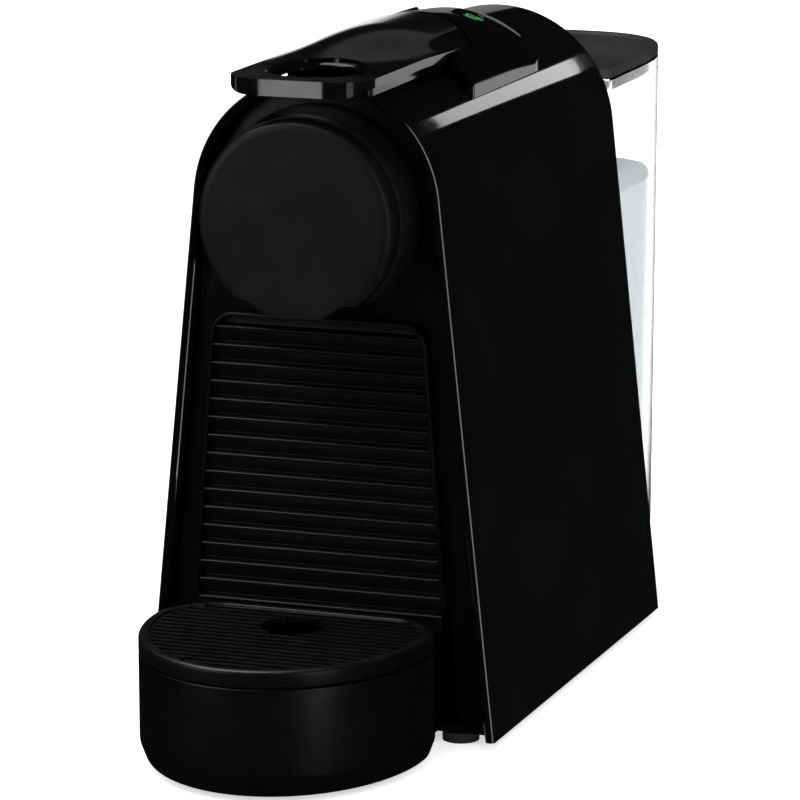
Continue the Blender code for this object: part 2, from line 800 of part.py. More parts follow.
def make_rockers():
    lean = 90 - math.degrees(ROCKER_TILT)
    crank_reach = math.hypot(CRANK_PIN_Y - PIVOT_Y, CRANK_PIN_Z - ROCKER_Z)
    cage_reach = ROCKER_REACH / math.cos(ROCKER_TILT)
    for name, x in (("rocker_left", -20.8), ("rocker_right", 18.4)):
        outline = arc(rocker_point(crank_reach - 0.4), 4.6, lean - 90, lean + 90, 9)
        outline += arc(rocker_point(-cage_reach + 0.5), 5.0, lean + 90, lean + 270, 9)
        holes = [
            circle((PIVOT_Y, ROCKER_Z), 2.1, 16),
            slot_hole(rocker_point(CRANK_LENGTH - 0.4), rocker_point(crank_reach), 2.85),
            slot_hole(rocker_point(-ROCKER_REACH + 0.3), rocker_point(-cage_reach), 2.75),
        ]
        plate(name, [outline, *holes], "YZ", x, x + 2.4, "steel")


def make_brew_frame():
    """Two side plates that hold the shafts and guide the cage pin, and the walls at front and rear."""
    for name, x in (("brew_frame_left", -FRAME_OUTER), ("brew_frame_right", FRAME_INNER)):
        outline = [
            (FRAME_FRONT_Y, 128),
            (FRAME_REAR_Y, 128),
            (FRAME_REAR_Y, 172),
            (-14, 176),
            (-18, 190),
        ]
        outline += arc((PIVOT_Y, PIVOT_Z), 3.1, 20, 160, 7)
        outline += [(-32, 190), (-35.5, 176), (FRAME_FRONT_Y, 172)]
        holes = [
            circle((PIVOT_Y, PIVOT_Z), 1.6, 16),
            circle((PIVOT_Y, ROCKER_Z), 2.1, 16),
            slot_hole((CAGE_PIN_Y, CAGE_PIN_Z), (CAGE_PIN_Y + CAGE_STROKE, CAGE_PIN_Z), 2.4),
        ]
        plate(name, [outline, *holes], "YZ", x, x + FRAME_OUTER - FRAME_INNER, "matte_black")
    half = FRAME_INNER - GAP
    front = [(-half, 128), (half, 128), (half, 170), (-half, 170)]
    outlines = [front, circle((0, 138), 4)]
    plate("brew_front_wall", outlines, "XZ", FRAME_FRONT_Y, FRAME_WALL_BACK_Y, "matte_black")
    rear = [(-half, 134), (half, 134), (half, 162), (-half, 162)]
    plate("brew_rear_wall", [rear, circle((0, BREW_Z), 3.4)], "XZ", 5.6, 8.0, "white_plastic")


def make_pierce_plate():
    outlines = [circle((0, BREW_Z), PIERCE_RADIUS, 28)]
    for degrees in (30, 90, 150, 225, 315):
        angle = math.radians(degrees)
        centre = (PIERCE_RING * math.cos(angle), BREW_Z + PIERCE_RING * math.sin(angle))
        outlines.append(circle(centre, 1.0, 8))
    plate("pierce_plate", outlines, "XZ", PIERCE_FRONT_Y, PIERCE_BACK_Y, "steel")


def make_cage():
    length = CAGE_REAR_Y - CAGE_FRONT_Y
    depth = CAGE_CAVITY_REAR_Y - CAGE_FRONT_Y
    profile = [
        (CAGE_RADIUS, length),
        (CAGE_RADIUS, 0),
        (CAGE_CAVITY_RADIUS + 0.6, 0),
        (CAGE_CAVITY_RADIUS - 3.5, depth),
        (3.4, depth),
        (3.4, length),
    ]
    obj = turned("brew_cage", profile, (0, CAGE_FRONT_Y, BREW_Z), (0, 1, 0), "white_plastic", 32)
    bore = rod("cage_pin_bore", (-25, CAGE_PIN_Y, CAGE_PIN_Z), (25, CAGE_PIN_Y, CAGE_PIN_Z), 2.3, None, 16)
    return cut(obj, bore)


def make_injector():
    length = 60.0
    profile = [(3.0, length), (3.0, 0), (1.4, 0), (1.4, length)]
    turned("injector_tube", profile, (0, -46, BREW_Z), (0, 1, 0), "steel", 20)


def make_pod_guide():
    low = 166.5
    high = 186.0
    half = 18.6
    obj = box("pod_guide", (-half, -75.8, low), (half, -44.6, high), "matte_black")
    inside = box("pod_guide_hollow", (-half + 1.4, -74.4, low - 3), (half - 1.4, -46.0, high + 3), None)
    return cut(obj, inside)


# ---------------------------------------------------------------- buttons and board


def button_axis(side):
    tilt = side * math.asin(BUTTON_X / COVER_RADIUS)
    return Vector((math.sin(tilt), 0, math.cos(tilt)))


def button_face(side):
    drop = COVER_REAR_DROP * smoothstep(COVER_CREST_Y, COVER_REAR_Y + 10, BUTTON_Y)
    height = COVER_CENTRE_Z - drop + math.sqrt(COVER_RADIUS**2 - BUTTON_X**2)
    return Vector((BUTTON_X * side, BUTTON_Y, height))


def make_buttons():
    profile = [
        (0, 0.3),
        (BUTTON_RADIUS - 0.5, 0.3),
        (BUTTON_RADIUS, -0.2),
        (BUTTON_RADIUS, -3.6),
        (2.2, -3.6),
        (2.2, -8.0),
        (0, -8.0),
    ]
    for name, side in (("button_left", -1), ("button_right", 1)):
        turned(name, profile, button_face(side), button_axis(side), "gloss_black", 24)


def make_board():
    box("control_board", (-22, 5, 186.0), (22, 25, 187.6), "board_green")
    for name, side in (("switch_left", -1), ("switch_right", 1)):
        tip = button_face(side) - button_axis(side) * 9.6
        top = tip.z - 0.6
        box(name, (tip.x - 3, tip.y - 3, 187.9), (tip.x + 3, tip.y + 3, top), "matte_black")


# ---------------------------------------------------------------- water system


def make_pump():
    """A vibration pump along Y on two rubber mounts: its body, the coil round it and the plunger inside."""
    outer = [(11, 54), (11, 44), (8, 44), (8, 14), (11, 14), (11, 0)]
    body = outer + [(4.6, 0), (4.6, 44), (2.0, 44), (2.0, 54)]
    turned("pump_body", body, (0, PUMP_Y, PUMP_Z), (0, 1, 0), "white_plastic", 24)
    coil = [(19, 28.4), (19, 0), (8.4, 0), (8.4, 28.4)]
    turned("pump_coil", coil, (0, PUMP_Y + 14.8, PUMP_Z), (0, 1, 0), "copper", 24)
    plunger = [(4.3, 20), (4.3, 0), (1.2, 0), (1.2, 20)]
    turned("pump_plunger", plunger, (0, PUMP_Y + 18, PUMP_Z), (0, 1, 0), "steel", 16)
    low = BASE_TOP_Z + GAP
    high = PUMP_Z + 14
    outline = [(-16, low), (16, low), (14, high), (-14, high)]
    for name, start in (("pump_mount_front", PUMP_Y + 2), ("pump_mount_rear", PUMP_Y + 45)):
        plate(name, [outline, circle((0, PUMP_Z), 11.3)], "XZ", start, start + 8, "rubber")


def make_thermoblock():
    box("thermoblock", (-24, 14, 92), (24, 58, 122), "aluminium", 2.0)


def make_flowmeter():
    """A cup with its cover, and an impeller of four crossed blades that turns about the cup's axis."""
    floor = BASE_TOP_Z + GAP
    top = METER_HEIGHT
    housing = [(0, 1.8), (1.0, 1.8), (1.0, 2.2), (11, 2.2), (11, top), (13, top), (13, 0), (0, 0)]
    turned("flowmeter_housing", housing, (0, METER_Y, floor), (0, 0, 1), "white_plastic", 24)
    cover = [(0, 2.0), (13, 2.0), (13, 0), (0, 0)]
    turned("flowmeter_cover", cover, (0, METER_Y, floor + top + GAP), (0, 0, 1), "white_plastic", 24)
    low = floor + 2.8
    hub = rod("impeller", (0, METER_Y, low), (0, METER_Y, low + 8), 3.0, "white_plastic", 16)
    for i in range(4):
        turn = Matrix.Translation(Vector((0, METER_Y, 0)) * MM) @ Matrix.Rotation(math.pi / 4 * i, 4, "Z")
        blade = box(f"blade_{i}", (-9.6, -0.6, low + 1), (9.6, 0.6, low + 7), None)
        blade.data.transform(turn)
        join(hub, blade)
    hub.data.transform(Matrix.Translation(Vector((0, -METER_Y, -low)) * MM))
    hub.location = Vector((0, METER_Y, low)) * MM


def make_socket():
    profile = [(2.6, 5.2), (2.6, 3.8), (6, 3.8), (6, 2), (9, 2), (9, 0), (1.2, 0), (1.2, 5.2)]
    low = TANK_BOTTOM_Z - 4.1
    turned("tank_socket", profile, (0, SOCKET_Y, low), (0, 0, 1), "silicone", 24)


def make_hoses():
    for name, (route, radius) in HOSES.items():
        tube(name, route, radius, "silicone")


# ---------------------------------------------------------------- bin, tray and tank


def make_bin_front():
    """The louvred front: one rib and one sloping slat repeated up the wall, on a solid back."""
    front = PANEL_FRONT_Y
    sunk = PANEL_FRONT_Y + RIB_DEPTH
    steps = [(front, PANEL_LOW_Z)]
    for i in range(RIB_COUNT):
        z = RIB_FIRST_Z + RIB_PITCH * i
        steps += [(front + 0.4, z - 1.0), (front, z - 0.5), (front, z), (sunk, z + 0.6)]
    steps += [(sunk, PANEL_TOP_Z), (PANEL_BACK_Y, PANEL_TOP_Z), (PANEL_BACK_Y, PANEL_LOW_Z)]
    rings = [[(side * panel_half(z), y, z) for y, z in steps] for side in (-1, 1)]
    return loft("bin_front", rings, "satin_black")


def make_bin():
    low = TRAY_RIM_Z + GAP
    profile = [(1.5, low), (0, low + 2), (0, 118), (1.6, 118), (1.6, low + 4), (3.0, low + 2)]
    return cup("pod_bin", bin_outline, profile, "matte_black")


def make_tray():
    """A round-fronted tray with a narrower tongue that reaches under the bin, hollow underneath."""
    profile = [
        (5.5, 0.6),
        (1.4, 3.2),
        (0, 7.5),
        (0, TRAY_RIM_Z),
        (2.0, TRAY_RIM_Z),
        (2.0, TRAY_FLOOR_Z + 1.7),
        (4.0, TRAY_FLOOR_Z),
    ]
    obj = cup("drip_tray", tray_outline, profile, "satin_black")
    tongue = box("tongue_underside", (-46, TONGUE_STEP_Y, -3), (46, -15, TONGUE_UNDER_Z), None)
    outline = [(x, min(y, TONGUE_STEP_Y + 2)) for x, y in tray_outline(TRAY_SKIRT, 0)]
    return cut(obj, tongue, plate("tray_underside", [outline], "XY", -3, TONGUE_UNDER_Z, None))


def make_grid():
    skirt = 1.8
    profile = [
        (skirt + 0.6, GRID_TOP_Z - 2.0),
        (skirt, TRAY_RIM_Z + GAP),
        (0, TRAY_RIM_Z + GAP),
        (0, GRID_TOP_Z - 0.7),
        (0.7, GRID_TOP_Z),
    ]
    obj = cup("drip_grid", grid_outline, profile, "satin_black")
    front = FRONT_Y + 4.0
    pitch = (GRID_REAR_Y - 4.0 - front) / SLAT_COUNT
    slots = bmesh.new()
    for i in range(SLAT_COUNT):
        y = front + pitch * (i + 0.5)
        half = tray_half_width(y) - GRID_BORDER
        made = bmesh.ops.create_cube(slots, size=1.0)["verts"]
        bmesh.ops.scale(slots, vec=(2 * half * MM, pitch * 0.5 * MM, 12 * MM), verts=made)
        bmesh.ops.translate(slots, vec=(0, y * MM, GRID_TOP_Z * MM), verts=made)
    cutter = add_object("grid_slots", mesh_from_bmesh("grid_slots", slots), None)
    hole = rod("grid_finger_hole", (0, GRID_HOLE_Y, 30), (0, GRID_HOLE_Y, 45), GRID_HOLE_RADIUS, None, 24)
    return cut(obj, cutter, hole)


def tray_half_width(y):
    """Half-width of the tray's plan at y."""
    depth = TRAY_BACK_DEPTH if y > TRAY_WIDEST_Y else TRAY_WIDEST_Y - FRONT_Y
    along = (y - TRAY_WIDEST_Y) / depth
    return TRAY_HALF * math.sqrt(max(0.0, 1 - along * along))


def make_tank():
    floor = TANK_BOTTOM_Z + 3.5
    profile = [
        (2.0, TANK_BOTTOM_Z),
        (0, TANK_BOTTOM_Z + 2.5),
        (0, TANK_TOP_Z),
        (TANK_WALL, TANK_TOP_Z),
        (TANK_WALL, floor + 2),
        (TANK_WALL + 2, floor),
    ]
    obj = cup("water_tank", tank_outline, profile, "clear")
    hole = rod("valve_hole", (0, SOCKET_Y, 5), (0, SOCKET_Y, 25), 4.4, None, 24)
    return cut(obj, hole)


def make_lid():
    low = TANK_TOP_Z - 4.5
    inner = TANK_WALL + 0.7
    profile = [
        (inner + 2.2, TANK_TOP_Z),
        (inner + 1.6, low),
        (inner, low),
        (inner, TANK_TOP_Z + GAP),
        (0, TANK_TOP_Z + GAP),
        (0, LID_TOP_Z - 0.6),
        (0.6, LID_TOP_Z),
    ]
    return cup("tank_lid", tank_outline, profile, "lid_grey")


def make_valve():
    """The tank's foot valve, held open by the dock while the tank is seated."""
    low = TANK_BOTTOM_Z + 1.4
    profile = [(0, 8.4), (8, 8.4), (8, 5.6), (3.4, 5.6), (3.4, 0), (0, 0)]
    turned("tank_valve", profile, (0, SOCKET_Y, low), (0, 0, 1), "silicone", 20)


# ---------------------------------------------------------------- assembly


def build():
    clear_scene()
    Shop.parts = new_collection("pod_coffee_machine")
    Shop.cutters = new_collection("cutters")
    Shop.materials = make_materials()
    make_outer_shell()
    make_spine_cover()
    make_front_frame()
    make_rear_panel()
    make_base()
    make_tank_dock()
    make_feet()
    make_screws()
    make_gland()
    make_head()
    make_outlet()
    make_lever_plate()
    make_lever_arms()
    make_pins()
    make_rockers()
    make_brew_frame()
    make_pierce_plate()
    make_cage()
    make_injector()
    make_pod_guide()
    make_buttons()
    make_board()
    make_pump()
    make_thermoblock()
    make_flowmeter()
    make_socket()
    make_hoses()
    make_bin_front()
    make_bin()
    make_tray()
    make_grid()
    make_tank()
    make_lid()
    make_valve()


build()
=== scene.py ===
"""Pod coffee machine: the looks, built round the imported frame.

The CAD nodes inside the casing stay and get procedural materials. What shows from outside is rebuilt here as
finer pieces with rounded edges. Sizes are in millimetres and become metres where a mesh is made. The front
faces -Y, the right side is +X and +Z is up.
"""

import json
import math

import bmesh
import bpy
from mathutils import Matrix, Vector


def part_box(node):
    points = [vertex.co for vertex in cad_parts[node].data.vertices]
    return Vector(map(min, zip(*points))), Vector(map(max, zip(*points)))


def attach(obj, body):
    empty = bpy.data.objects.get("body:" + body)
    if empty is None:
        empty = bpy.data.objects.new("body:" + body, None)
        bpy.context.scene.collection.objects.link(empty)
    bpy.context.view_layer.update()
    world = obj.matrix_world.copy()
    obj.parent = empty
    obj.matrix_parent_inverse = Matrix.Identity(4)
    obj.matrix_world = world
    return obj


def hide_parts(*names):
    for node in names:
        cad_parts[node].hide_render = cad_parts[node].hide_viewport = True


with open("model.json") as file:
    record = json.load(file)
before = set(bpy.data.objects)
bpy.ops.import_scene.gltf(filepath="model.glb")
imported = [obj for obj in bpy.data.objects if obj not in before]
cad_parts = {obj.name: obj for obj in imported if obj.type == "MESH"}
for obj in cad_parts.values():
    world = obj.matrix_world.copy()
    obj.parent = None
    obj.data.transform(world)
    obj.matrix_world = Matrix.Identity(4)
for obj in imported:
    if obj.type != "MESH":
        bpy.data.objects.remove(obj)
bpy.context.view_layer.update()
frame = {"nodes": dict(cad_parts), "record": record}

MM = 0.001


def span(node):
    """Lowest and highest corner of a CAD node, in millimetres."""
    low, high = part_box(node)
    return low / MM, high / MM


# ---------------------------------------------------------------- driving sizes, some from the frame

SHELL_LOW, SHELL_HIGH = span("outer_shell")
COVER_LOW, COVER_HIGH = span("spine_cover")
FRAME_LOW, FRAME_HIGH = span("front_frame")
DRUM_LOW = span("head_drum")[0]
CAP_LOW, CAP_HIGH = span("head_cap")
OUTLET_LOW, OUTLET_HIGH = span("coffee_outlet")
LEVER_LOW, LEVER_HIGH = span("lever_plate")
PANEL_LOW, PANEL_HIGH = span("bin_front")
TRAY_LOW, TRAY_HIGH = span("drip_tray")
GRID_LOW, GRID_HIGH = span("drip_grid")
TANK_LOW, TANK_HIGH = span("water_tank")
LID_LOW, LID_HIGH = span("tank_lid")

# Outer shell: an arch on two straight sides that lean outwards
SHELL_RADIUS = 38.6
SHELL_CENTRE_Z = SHELL_HIGH.z - SHELL_RADIUS
SHELL_WALL = 3.0
SHELL_RISE = SHELL_CENTRE_Z - SHELL_LOW.z
SHELL_SLANT = math.hypot(SHELL_HIGH.x, SHELL_RISE)
SHELL_LEAN = math.acos(SHELL_RADIUS / SHELL_SLANT) - math.atan2(SHELL_RISE, SHELL_HIGH.x)
GAP = 0.3
POD_SLOT = (-19.2, -76.4, 170), (19.2, -44, 210)
LINKAGE_SLOT = (-26, -34, 176), (26, 25, 215)
CROWN_FLAT = (-15, -95, 195.8), (15, -33, 205)
SLOT_CORNER = 2.0

# Raised cover
COVER_RADIUS = 38.5
COVER_CENTRE_Z = 166.5
COVER_CREST_Y = -5.0
COVER_REAR_DROP = 2.7
COVER_WALL = 1.8

# Lever
LEVER_HALF = LEVER_HIGH.x
LEVER_CORNER = 12.0
LEVER_EDGE_Z = 199.0
LEVER_SIDE_REAR_Y = -17.0
LEVER_REAR_BULGE = 15.0
LEVER_GATE_GAP = 2.4
LEVER_THICK = 2.6
LEVER_LIP = 2.2  # how much thicker the plate is at its front edge
LEVER_LIP_END_Y = -99.0
LEVER_CORNER_DROP = 1.1  # how far the rear corners dip towards the cover
RAIL_LOW_Z = 193.8
LEVER_HOLE_RADIUS = 14.0
LEVER_HOLE_Y = -86.0

# Head
HEAD_Z = 157.1
DISC_RADIUS = 30.0
DRUM_RADIUS = 32.0
LOBE_HALF = 14.5
LOBE_LOW_HALF = 8.5
LOBE_LOW_Z = 129.8

# Louvred bin front
RIB_FIRST_Z = 39.5
RIB_PITCH = 5.5
RIB_COUNT = 16
RIB_DEPTH = 2.6
PANEL_CORNER = 6.0
PANEL_FOOT_HALF = 41.17  # where its leaning sides meet the ground
PANEL_TAPER = 0.0711
BEAD_LOW_Z = 40.5

# Tray and grid
TRAY_WIDEST_Y = -110.7
TRAY_BACK_DEPTH = 25.0
TONGUE_HALF = 37.0
GRID_HOLE_Y = -110.0
GRID_HOLE_RADIUS = 9.5
SLAT_COUNT = 17

# Tank
TANK_FOOT_HALF = 35.0
TANK_STRAIGHT_Y = 112.0
TANK_WALL = 2.6
TANK_FLOOR = 3.5
WATER_TOP_Z = 134.6
WALL_BEND = 1.25  # refractive indices, kept low so that the studio's white shows through
WATER_BEND = 1.05
VALVE_Y = 105.0

# Buttons
BUTTON_RADIUS = 6.4
BUTTON_X = 12.0
BUTTON_Y = 14.0

# Camera
CAMERA_PLACE = (486.95, -1345.45, 397.64)
CAMERA_PAN = 20.154
CAMERA_TILT = 12.386
CAMERA_ROLL = -0.211
CAMERA_LENS = 212.04

# Floor
FLOOR_GLOW = 0.6

# Shading
SHARP_ANGLE = 35.0  # edges sharper than this, in degrees, aren't smoothed


# ---------------------------------------------------------------- plane geometry


def arc(centre, radius, start, end, count):
    """Points on a circle, angles in degrees."""
    points = []
    for i in range(count):
        angle = math.radians(start + (end - start) * i / (count - 1))
        points.append((centre[0] + radius * math.cos(angle), centre[1] + radius * math.sin(angle)))
    return points


def circle(centre, radius, count=48):
    return arc(centre, radius, 0, 360, count + 1)[:-1]


def slot_hole(start, end, radius, count=17):
    """A rounded slot from start to end in a plane."""
    heading = math.degrees(math.atan2(end[1] - start[1], end[0] - start[0]))
    far = arc(end, radius, heading - 90, heading + 90, count)
    return far + arc(start, radius, heading + 90, heading + 270, count)


def rounded(corners, steps=4):
    """A closed outline of (u, v, radius) corners with each corner rounded by its own radius."""
    outline = []
    count = len(corners)
    for i, (u, v, radius) in enumerate(corners):
        here = Vector((u, v))
        back = Vector(corners[i - 1][:2]) - here
        ahead = Vector(corners[(i + 1) % count][:2]) - here
        if radius <= 0 or back.length == 0 or ahead.length == 0:
            outline.append((u, v))
            continue
        angle = back.angle(ahead)
        reach = min(radius / math.tan(angle / 2), back.length * 0.49, ahead.length * 0.49)
        start = here + back.normalized() * reach
        end = here + ahead.normalized() * reach
        for k in range(steps + 1):
            t = k / steps
            point = start * (1 - t) ** 2 + here * 2 * t * (1 - t) + end * t**2
            outline.append((point.x, point.y))
    return outline


def smoothstep(low, high, value):
    """0 below low, 1 above high and a smooth rise between them."""
    t = min(1.0, max(0.0, (value - low) / (high - low)))
    return t * t * (3 - 2 * t)


# ---------------------------------------------------------------- mesh making


def mesh_from(shape, name):
    """A mesh with its faces turned outwards. The working shape is freed."""
    bmesh.ops.recalc_face_normals(shape, faces=shape.faces)
    mesh = bpy.data.meshes.new(name)
    shape.to_mesh(mesh)
    shape.free()
    return mesh


def new_object(name, mesh):
    obj = bpy.data.objects.new(name, mesh)
    bpy.context.scene.collection.objects.link(obj)
    return obj


def loft(name, rings):
    """A closed solid through rings of equally many points, capped at both ends."""
    shape = bmesh.new()
    rows = [[shape.verts.new(Vector(point) * MM) for point in ring] for ring in rings]
    count = len(rows[0])
    for lower, upper in zip(rows, rows[1:]):
        for i in range(count):
            j = (i + 1) % count
            shape.faces.new((lower[i], lower[j], upper[j], upper[i]))
    shape.faces.new(list(reversed(rows[0])))
    shape.faces.new(rows[-1])
    return new_object(name, mesh_from(shape, name))


def stacked(name, outline, profile):
    """A solid whose plan is outline(inset, z), lofted through a profile of (inset, z)."""
    return loft(name, [[(x, y, z) for x, y in outline(inset, z)] for inset, z in profile])


def turned(name, profile, centre, axis, steps=96):
    """A turned solid. The profile is a closed list of (radius, height along axis)."""
    shape = bmesh.new()
    turn = Vector((0, 0, 1)).rotation_difference(Vector(axis)).to_matrix().to_4x4()
    place = Matrix.Translation(Vector(centre) * MM) @ turn
    rows = []
    for i in range(steps):
        angle = 2 * math.pi * i / steps
        row = []
        for radius, height in profile:
            point = Vector((radius * math.cos(angle), radius * math.sin(angle), height)) * MM
            row.append(shape.verts.new(place @ point))
        rows.append(row)
    count = len(profile)
    for row, ahead in zip(rows, rows[1:] + rows[:1]):
        for i in range(count):
            j = (i + 1) % count
            if profile[i][0] or profile[j][0]:
                shape.faces.new((row[i], row[j], ahead[j], ahead[i]))
    bmesh.ops.remove_doubles(shape, verts=shape.verts, dist=0.000001)
    bmesh.ops.dissolve_degenerate(shape, edges=shape.edges, dist=0.000001)
    return new_object(name, mesh_from(shape, name))


def plate(name, outlines, plane, low, high, edge=0.0):
    """A flat outline with optional holes, extruded, with edges rounded by edge. plane names its two axes."""
    curve = bpy.data.curves.new(name, "CURVE")
    curve.dimensions = "2D"
    curve.fill_mode = "BOTH"
    curve.extrude = ((high - low) / 2 - edge) * MM
    curve.bevel_depth = edge * MM
    curve.bevel_resolution = 2
    curve.offset = -edge * MM
    for outline in outlines:
        spline = curve.splines.new("POLY")
        spline.points.add(len(outline) - 1)
        spline.use_cyclic_u = True
        for point, (u, v) in zip(spline.points, outline):
            point.co = (u * MM, v * MM, 0.0, 1.0)
    guide = new_object(name + "_outline", curve)
    middle = (low + high) / 2 * MM
    turn = {
        "XY": Matrix(((1, 0, 0, 0), (0, 1, 0, 0), (0, 0, 1, middle), (0, 0, 0, 1))),
        "XZ": Matrix(((1, 0, 0, 0), (0, 0, -1, middle), (0, 1, 0, 0), (0, 0, 0, 1))),
    }[plane]
    graph = bpy.context.evaluated_depsgraph_get()
    flat = bpy.data.meshes.new_from_object(guide.evaluated_get(graph))
    flat.materials.clear()
    bpy.data.objects.remove(guide, do_unlink=True)
    shape = bmesh.new()
    shape.from_mesh(flat)
    bpy.data.meshes.remove(flat)
    bmesh.ops.remove_doubles(shape, verts=shape.verts, dist=0.000001)
    bmesh.ops.transform(shape, matrix=turn, verts=shape.verts)
    return new_object(name, mesh_from(shape, name))


def block(name, low, high, corner=0.0):
    """A box; corner rounds its upright edges."""
    corners = [(low[0], low[1]), (high[0], low[1]), (high[0], high[1]), (low[0], high[1])]
    outline = rounded([(x, y, corner) for x, y in corners]) if corner else corners
    return loft(name, [[(x, y, z) for x, y in outline] for z in (low[2], high[2])])


def rod(name, start, end, radius, sides=48):
    """A round bar between two points."""
    length = (Vector(end) - Vector(start)).length
    profile = [(0, length), (radius, length), (radius, 0), (0, 0)]
    return turned(name, profile, start, Vector(end) - Vector(start), sides)


def settle(obj):
    """Applies the object's modifiers to its mesh."""
    graph = bpy.context.evaluated_depsgraph_get()
    mesh = bpy.data.meshes.new_from_object(obj.evaluated_get(graph))
    obj.modifiers.clear()
    obj.data = mesh
    return obj


def combine(obj, others, operation):
    """Applies one exact Boolean for each of the others and removes them."""
    for other in others:
        modifier = obj.modifiers.new(operation.lower(), "BOOLEAN")
        modifier.object = other
        modifier.operation = operation
        modifier.solver = "EXACT"
    settle(obj)
    for other in others:
        bpy.data.objects.remove(other, do_unlink=True)
    return obj


def cut(obj, *cutters):
    return combine(obj, cutters, "DIFFERENCE")


def join(obj, *others):
    return combine(obj, others, "UNION")


def soften(obj, width, segments=3, angle=50.0):
    """Rounds the sharp edges of a piece or a CAD node with a live bevel."""
    modifier = obj.modifiers.new("soft_edges", "BEVEL")
    modifier.width = width * MM
    modifier.segments = segments
    modifier.limit_method = "ANGLE"
    modifier.angle_limit = math.radians(angle)
    modifier.harden_normals = True
    return obj


def finish_piece(obj, body, look, replaced=()):
    """Shades a piece, gives it its material and slot, and lets it ride on its body in place of CAD nodes."""
    obj.data.materials.clear()
    obj.data.materials.append(LOOKS[look])
    obj.data.shade_smooth()
    obj.data.set_sharp_from_angle(angle=math.radians(SHARP_ANGLE))
    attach(obj, body)
    if replaced:
        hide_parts(*replaced)
    return obj


# ---------------------------------------------------------------- materials


class Nodes:
    """A small helper that adds nodes to one material and links them."""

    def __init__(self, name):
        self.material = bpy.data.materials.new(name)
        self.material.use_nodes = True
        self.tree = self.material.node_tree
        self.shader = self.tree.nodes["Principled BSDF"]
        self.place = self.add("ShaderNodeTexCoord").outputs["Object"]

    def add(self, kind, **values):
        node = self.tree.nodes.new(kind)
        for name, value in values.items():
            setattr(node, name, value)
        return node

    def link(self, source, target):
        self.tree.links.new(source, target)

    def stretched(self, scale):
        node = self.add("ShaderNodeMapping")
        node.inputs["Scale"].default_value = scale
        self.link(self.place, node.inputs["Vector"])
        return node.outputs["Vector"]

    def noise(self, scale, detail=3.0, roughness=0.55, stretch=None):
        node = self.add("ShaderNodeTexNoise")
        node.inputs["Scale"].default_value = scale
        node.inputs["Detail"].default_value = detail
        node.inputs["Roughness"].default_value = roughness
        self.link(self.stretched(stretch) if stretch else self.place, node.inputs["Vector"])
        return node.outputs["Fac"]

    def cells(self, scale):
        node = self.add("ShaderNodeTexVoronoi")
        node.inputs["Scale"].default_value = scale
        self.link(self.place, node.inputs["Vector"])
        return node.outputs["Distance"]

    def bands(self, scale, direction, distortion=0.0):
        node = self.add("ShaderNodeTexWave", wave_type="BANDS", bands_direction=direction)
        node.inputs["Scale"].default_value = scale
        node.inputs["Distortion"].default_value = distortion
        self.link(self.place, node.inputs["Vector"])
        return node.outputs["Fac"]

    def ranged(self, source, low, high, start=0.0, end=1.0):
        node = self.add("ShaderNodeMapRange")
        node.inputs["From Min"].default_value = start
        node.inputs["From Max"].default_value = end
        node.inputs["To Min"].default_value = low
        node.inputs["To Max"].default_value = high
        self.link(source, node.inputs["Value"])
        return node.outputs["Result"]

    def ramp(self, source, stops):
        """stops is a list of (position, colour)."""
        node = self.add("ShaderNodeValToRGB")
        elements = node.color_ramp.elements
        while len(elements) < len(stops):
            elements.new(0.5)
        for element, (position, colour) in zip(elements, stops):
            element.position = position
            element.color = (*colour, 1.0)
        self.link(source, node.inputs["Fac"])
        return node.outputs["Color"]

    def bump(self, source, depth, strength=1.0):
        node = self.add("ShaderNodeBump")
        node.inputs["Distance"].default_value = depth * MM
        node.inputs["Strength"].default_value = strength
        self.link(source, node.inputs["Height"])
        self.link(node.outputs["Normal"], self.shader.inputs["Normal"])


def shade_of(colour, factor):
    """The colour made darker or lighter by a factor."""
    return tuple(channel * factor for channel in colour)


def moulded(name, colour, roughness, grain_scale, grain_depth, mottle=0.25, gloss_drift=0.15):
    """Moulded plastic or rubber: a drifting shade, uneven gloss and a fine grain."""
    n = Nodes(name)
    shades = [(0.3, shade_of(colour, 1 - mottle)), (0.7, shade_of(colour, 1 + mottle))]
    n.link(n.ramp(n.noise(38.0, 4.0), shades), n.shader.inputs["Base Color"])
    low = roughness * (1 - gloss_drift)
    high = roughness * (1 + gloss_drift)
    n.link(n.ranged(n.noise(210.0, 5.0), low, high, 0.3, 0.7), n.shader.inputs["Roughness"])
    n.bump(n.noise(grain_scale, 2.0), grain_depth)
    return n.material


def metal(name, colour, roughness, stretch):
    """Drawn or cast metal, its fine lines stretched along one axis."""
    n = Nodes(name)
    n.shader.inputs["Metallic"].default_value = 1.0
    shades = [(0.3, shade_of(colour, 0.86)), (0.7, shade_of(colour, 1.08))]
    n.link(n.ramp(n.noise(60.0, 5.0, stretch=stretch), shades), n.shader.inputs["Base Color"])
    lines = n.noise(900.0, 3.0, stretch=stretch)
    n.link(n.ranged(lines, roughness * 0.75, roughness * 1.3, 0.3, 0.7), n.shader.inputs["Roughness"])
    n.bump(lines, 0.02)
    return n.material


def wound_copper():
    """Enamelled wire wound round the coil: fine bands along Y."""
    n = Nodes("wound_copper")
    n.shader.inputs["Metallic"].default_value = 1.0
    turns = n.bands(1100.0, "Y", 0.4)
    n.link(n.ramp(turns, [(0.0, (0.2, 0.07, 0.03)), (0.6, (0.72, 0.36, 0.2))]), n.shader.inputs["Base Color"])
    n.link(n.ranged(n.noise(300.0), 0.22, 0.42, 0.3, 0.7), n.shader.inputs["Roughness"])
    n.bump(turns, 0.15)
    return n.material


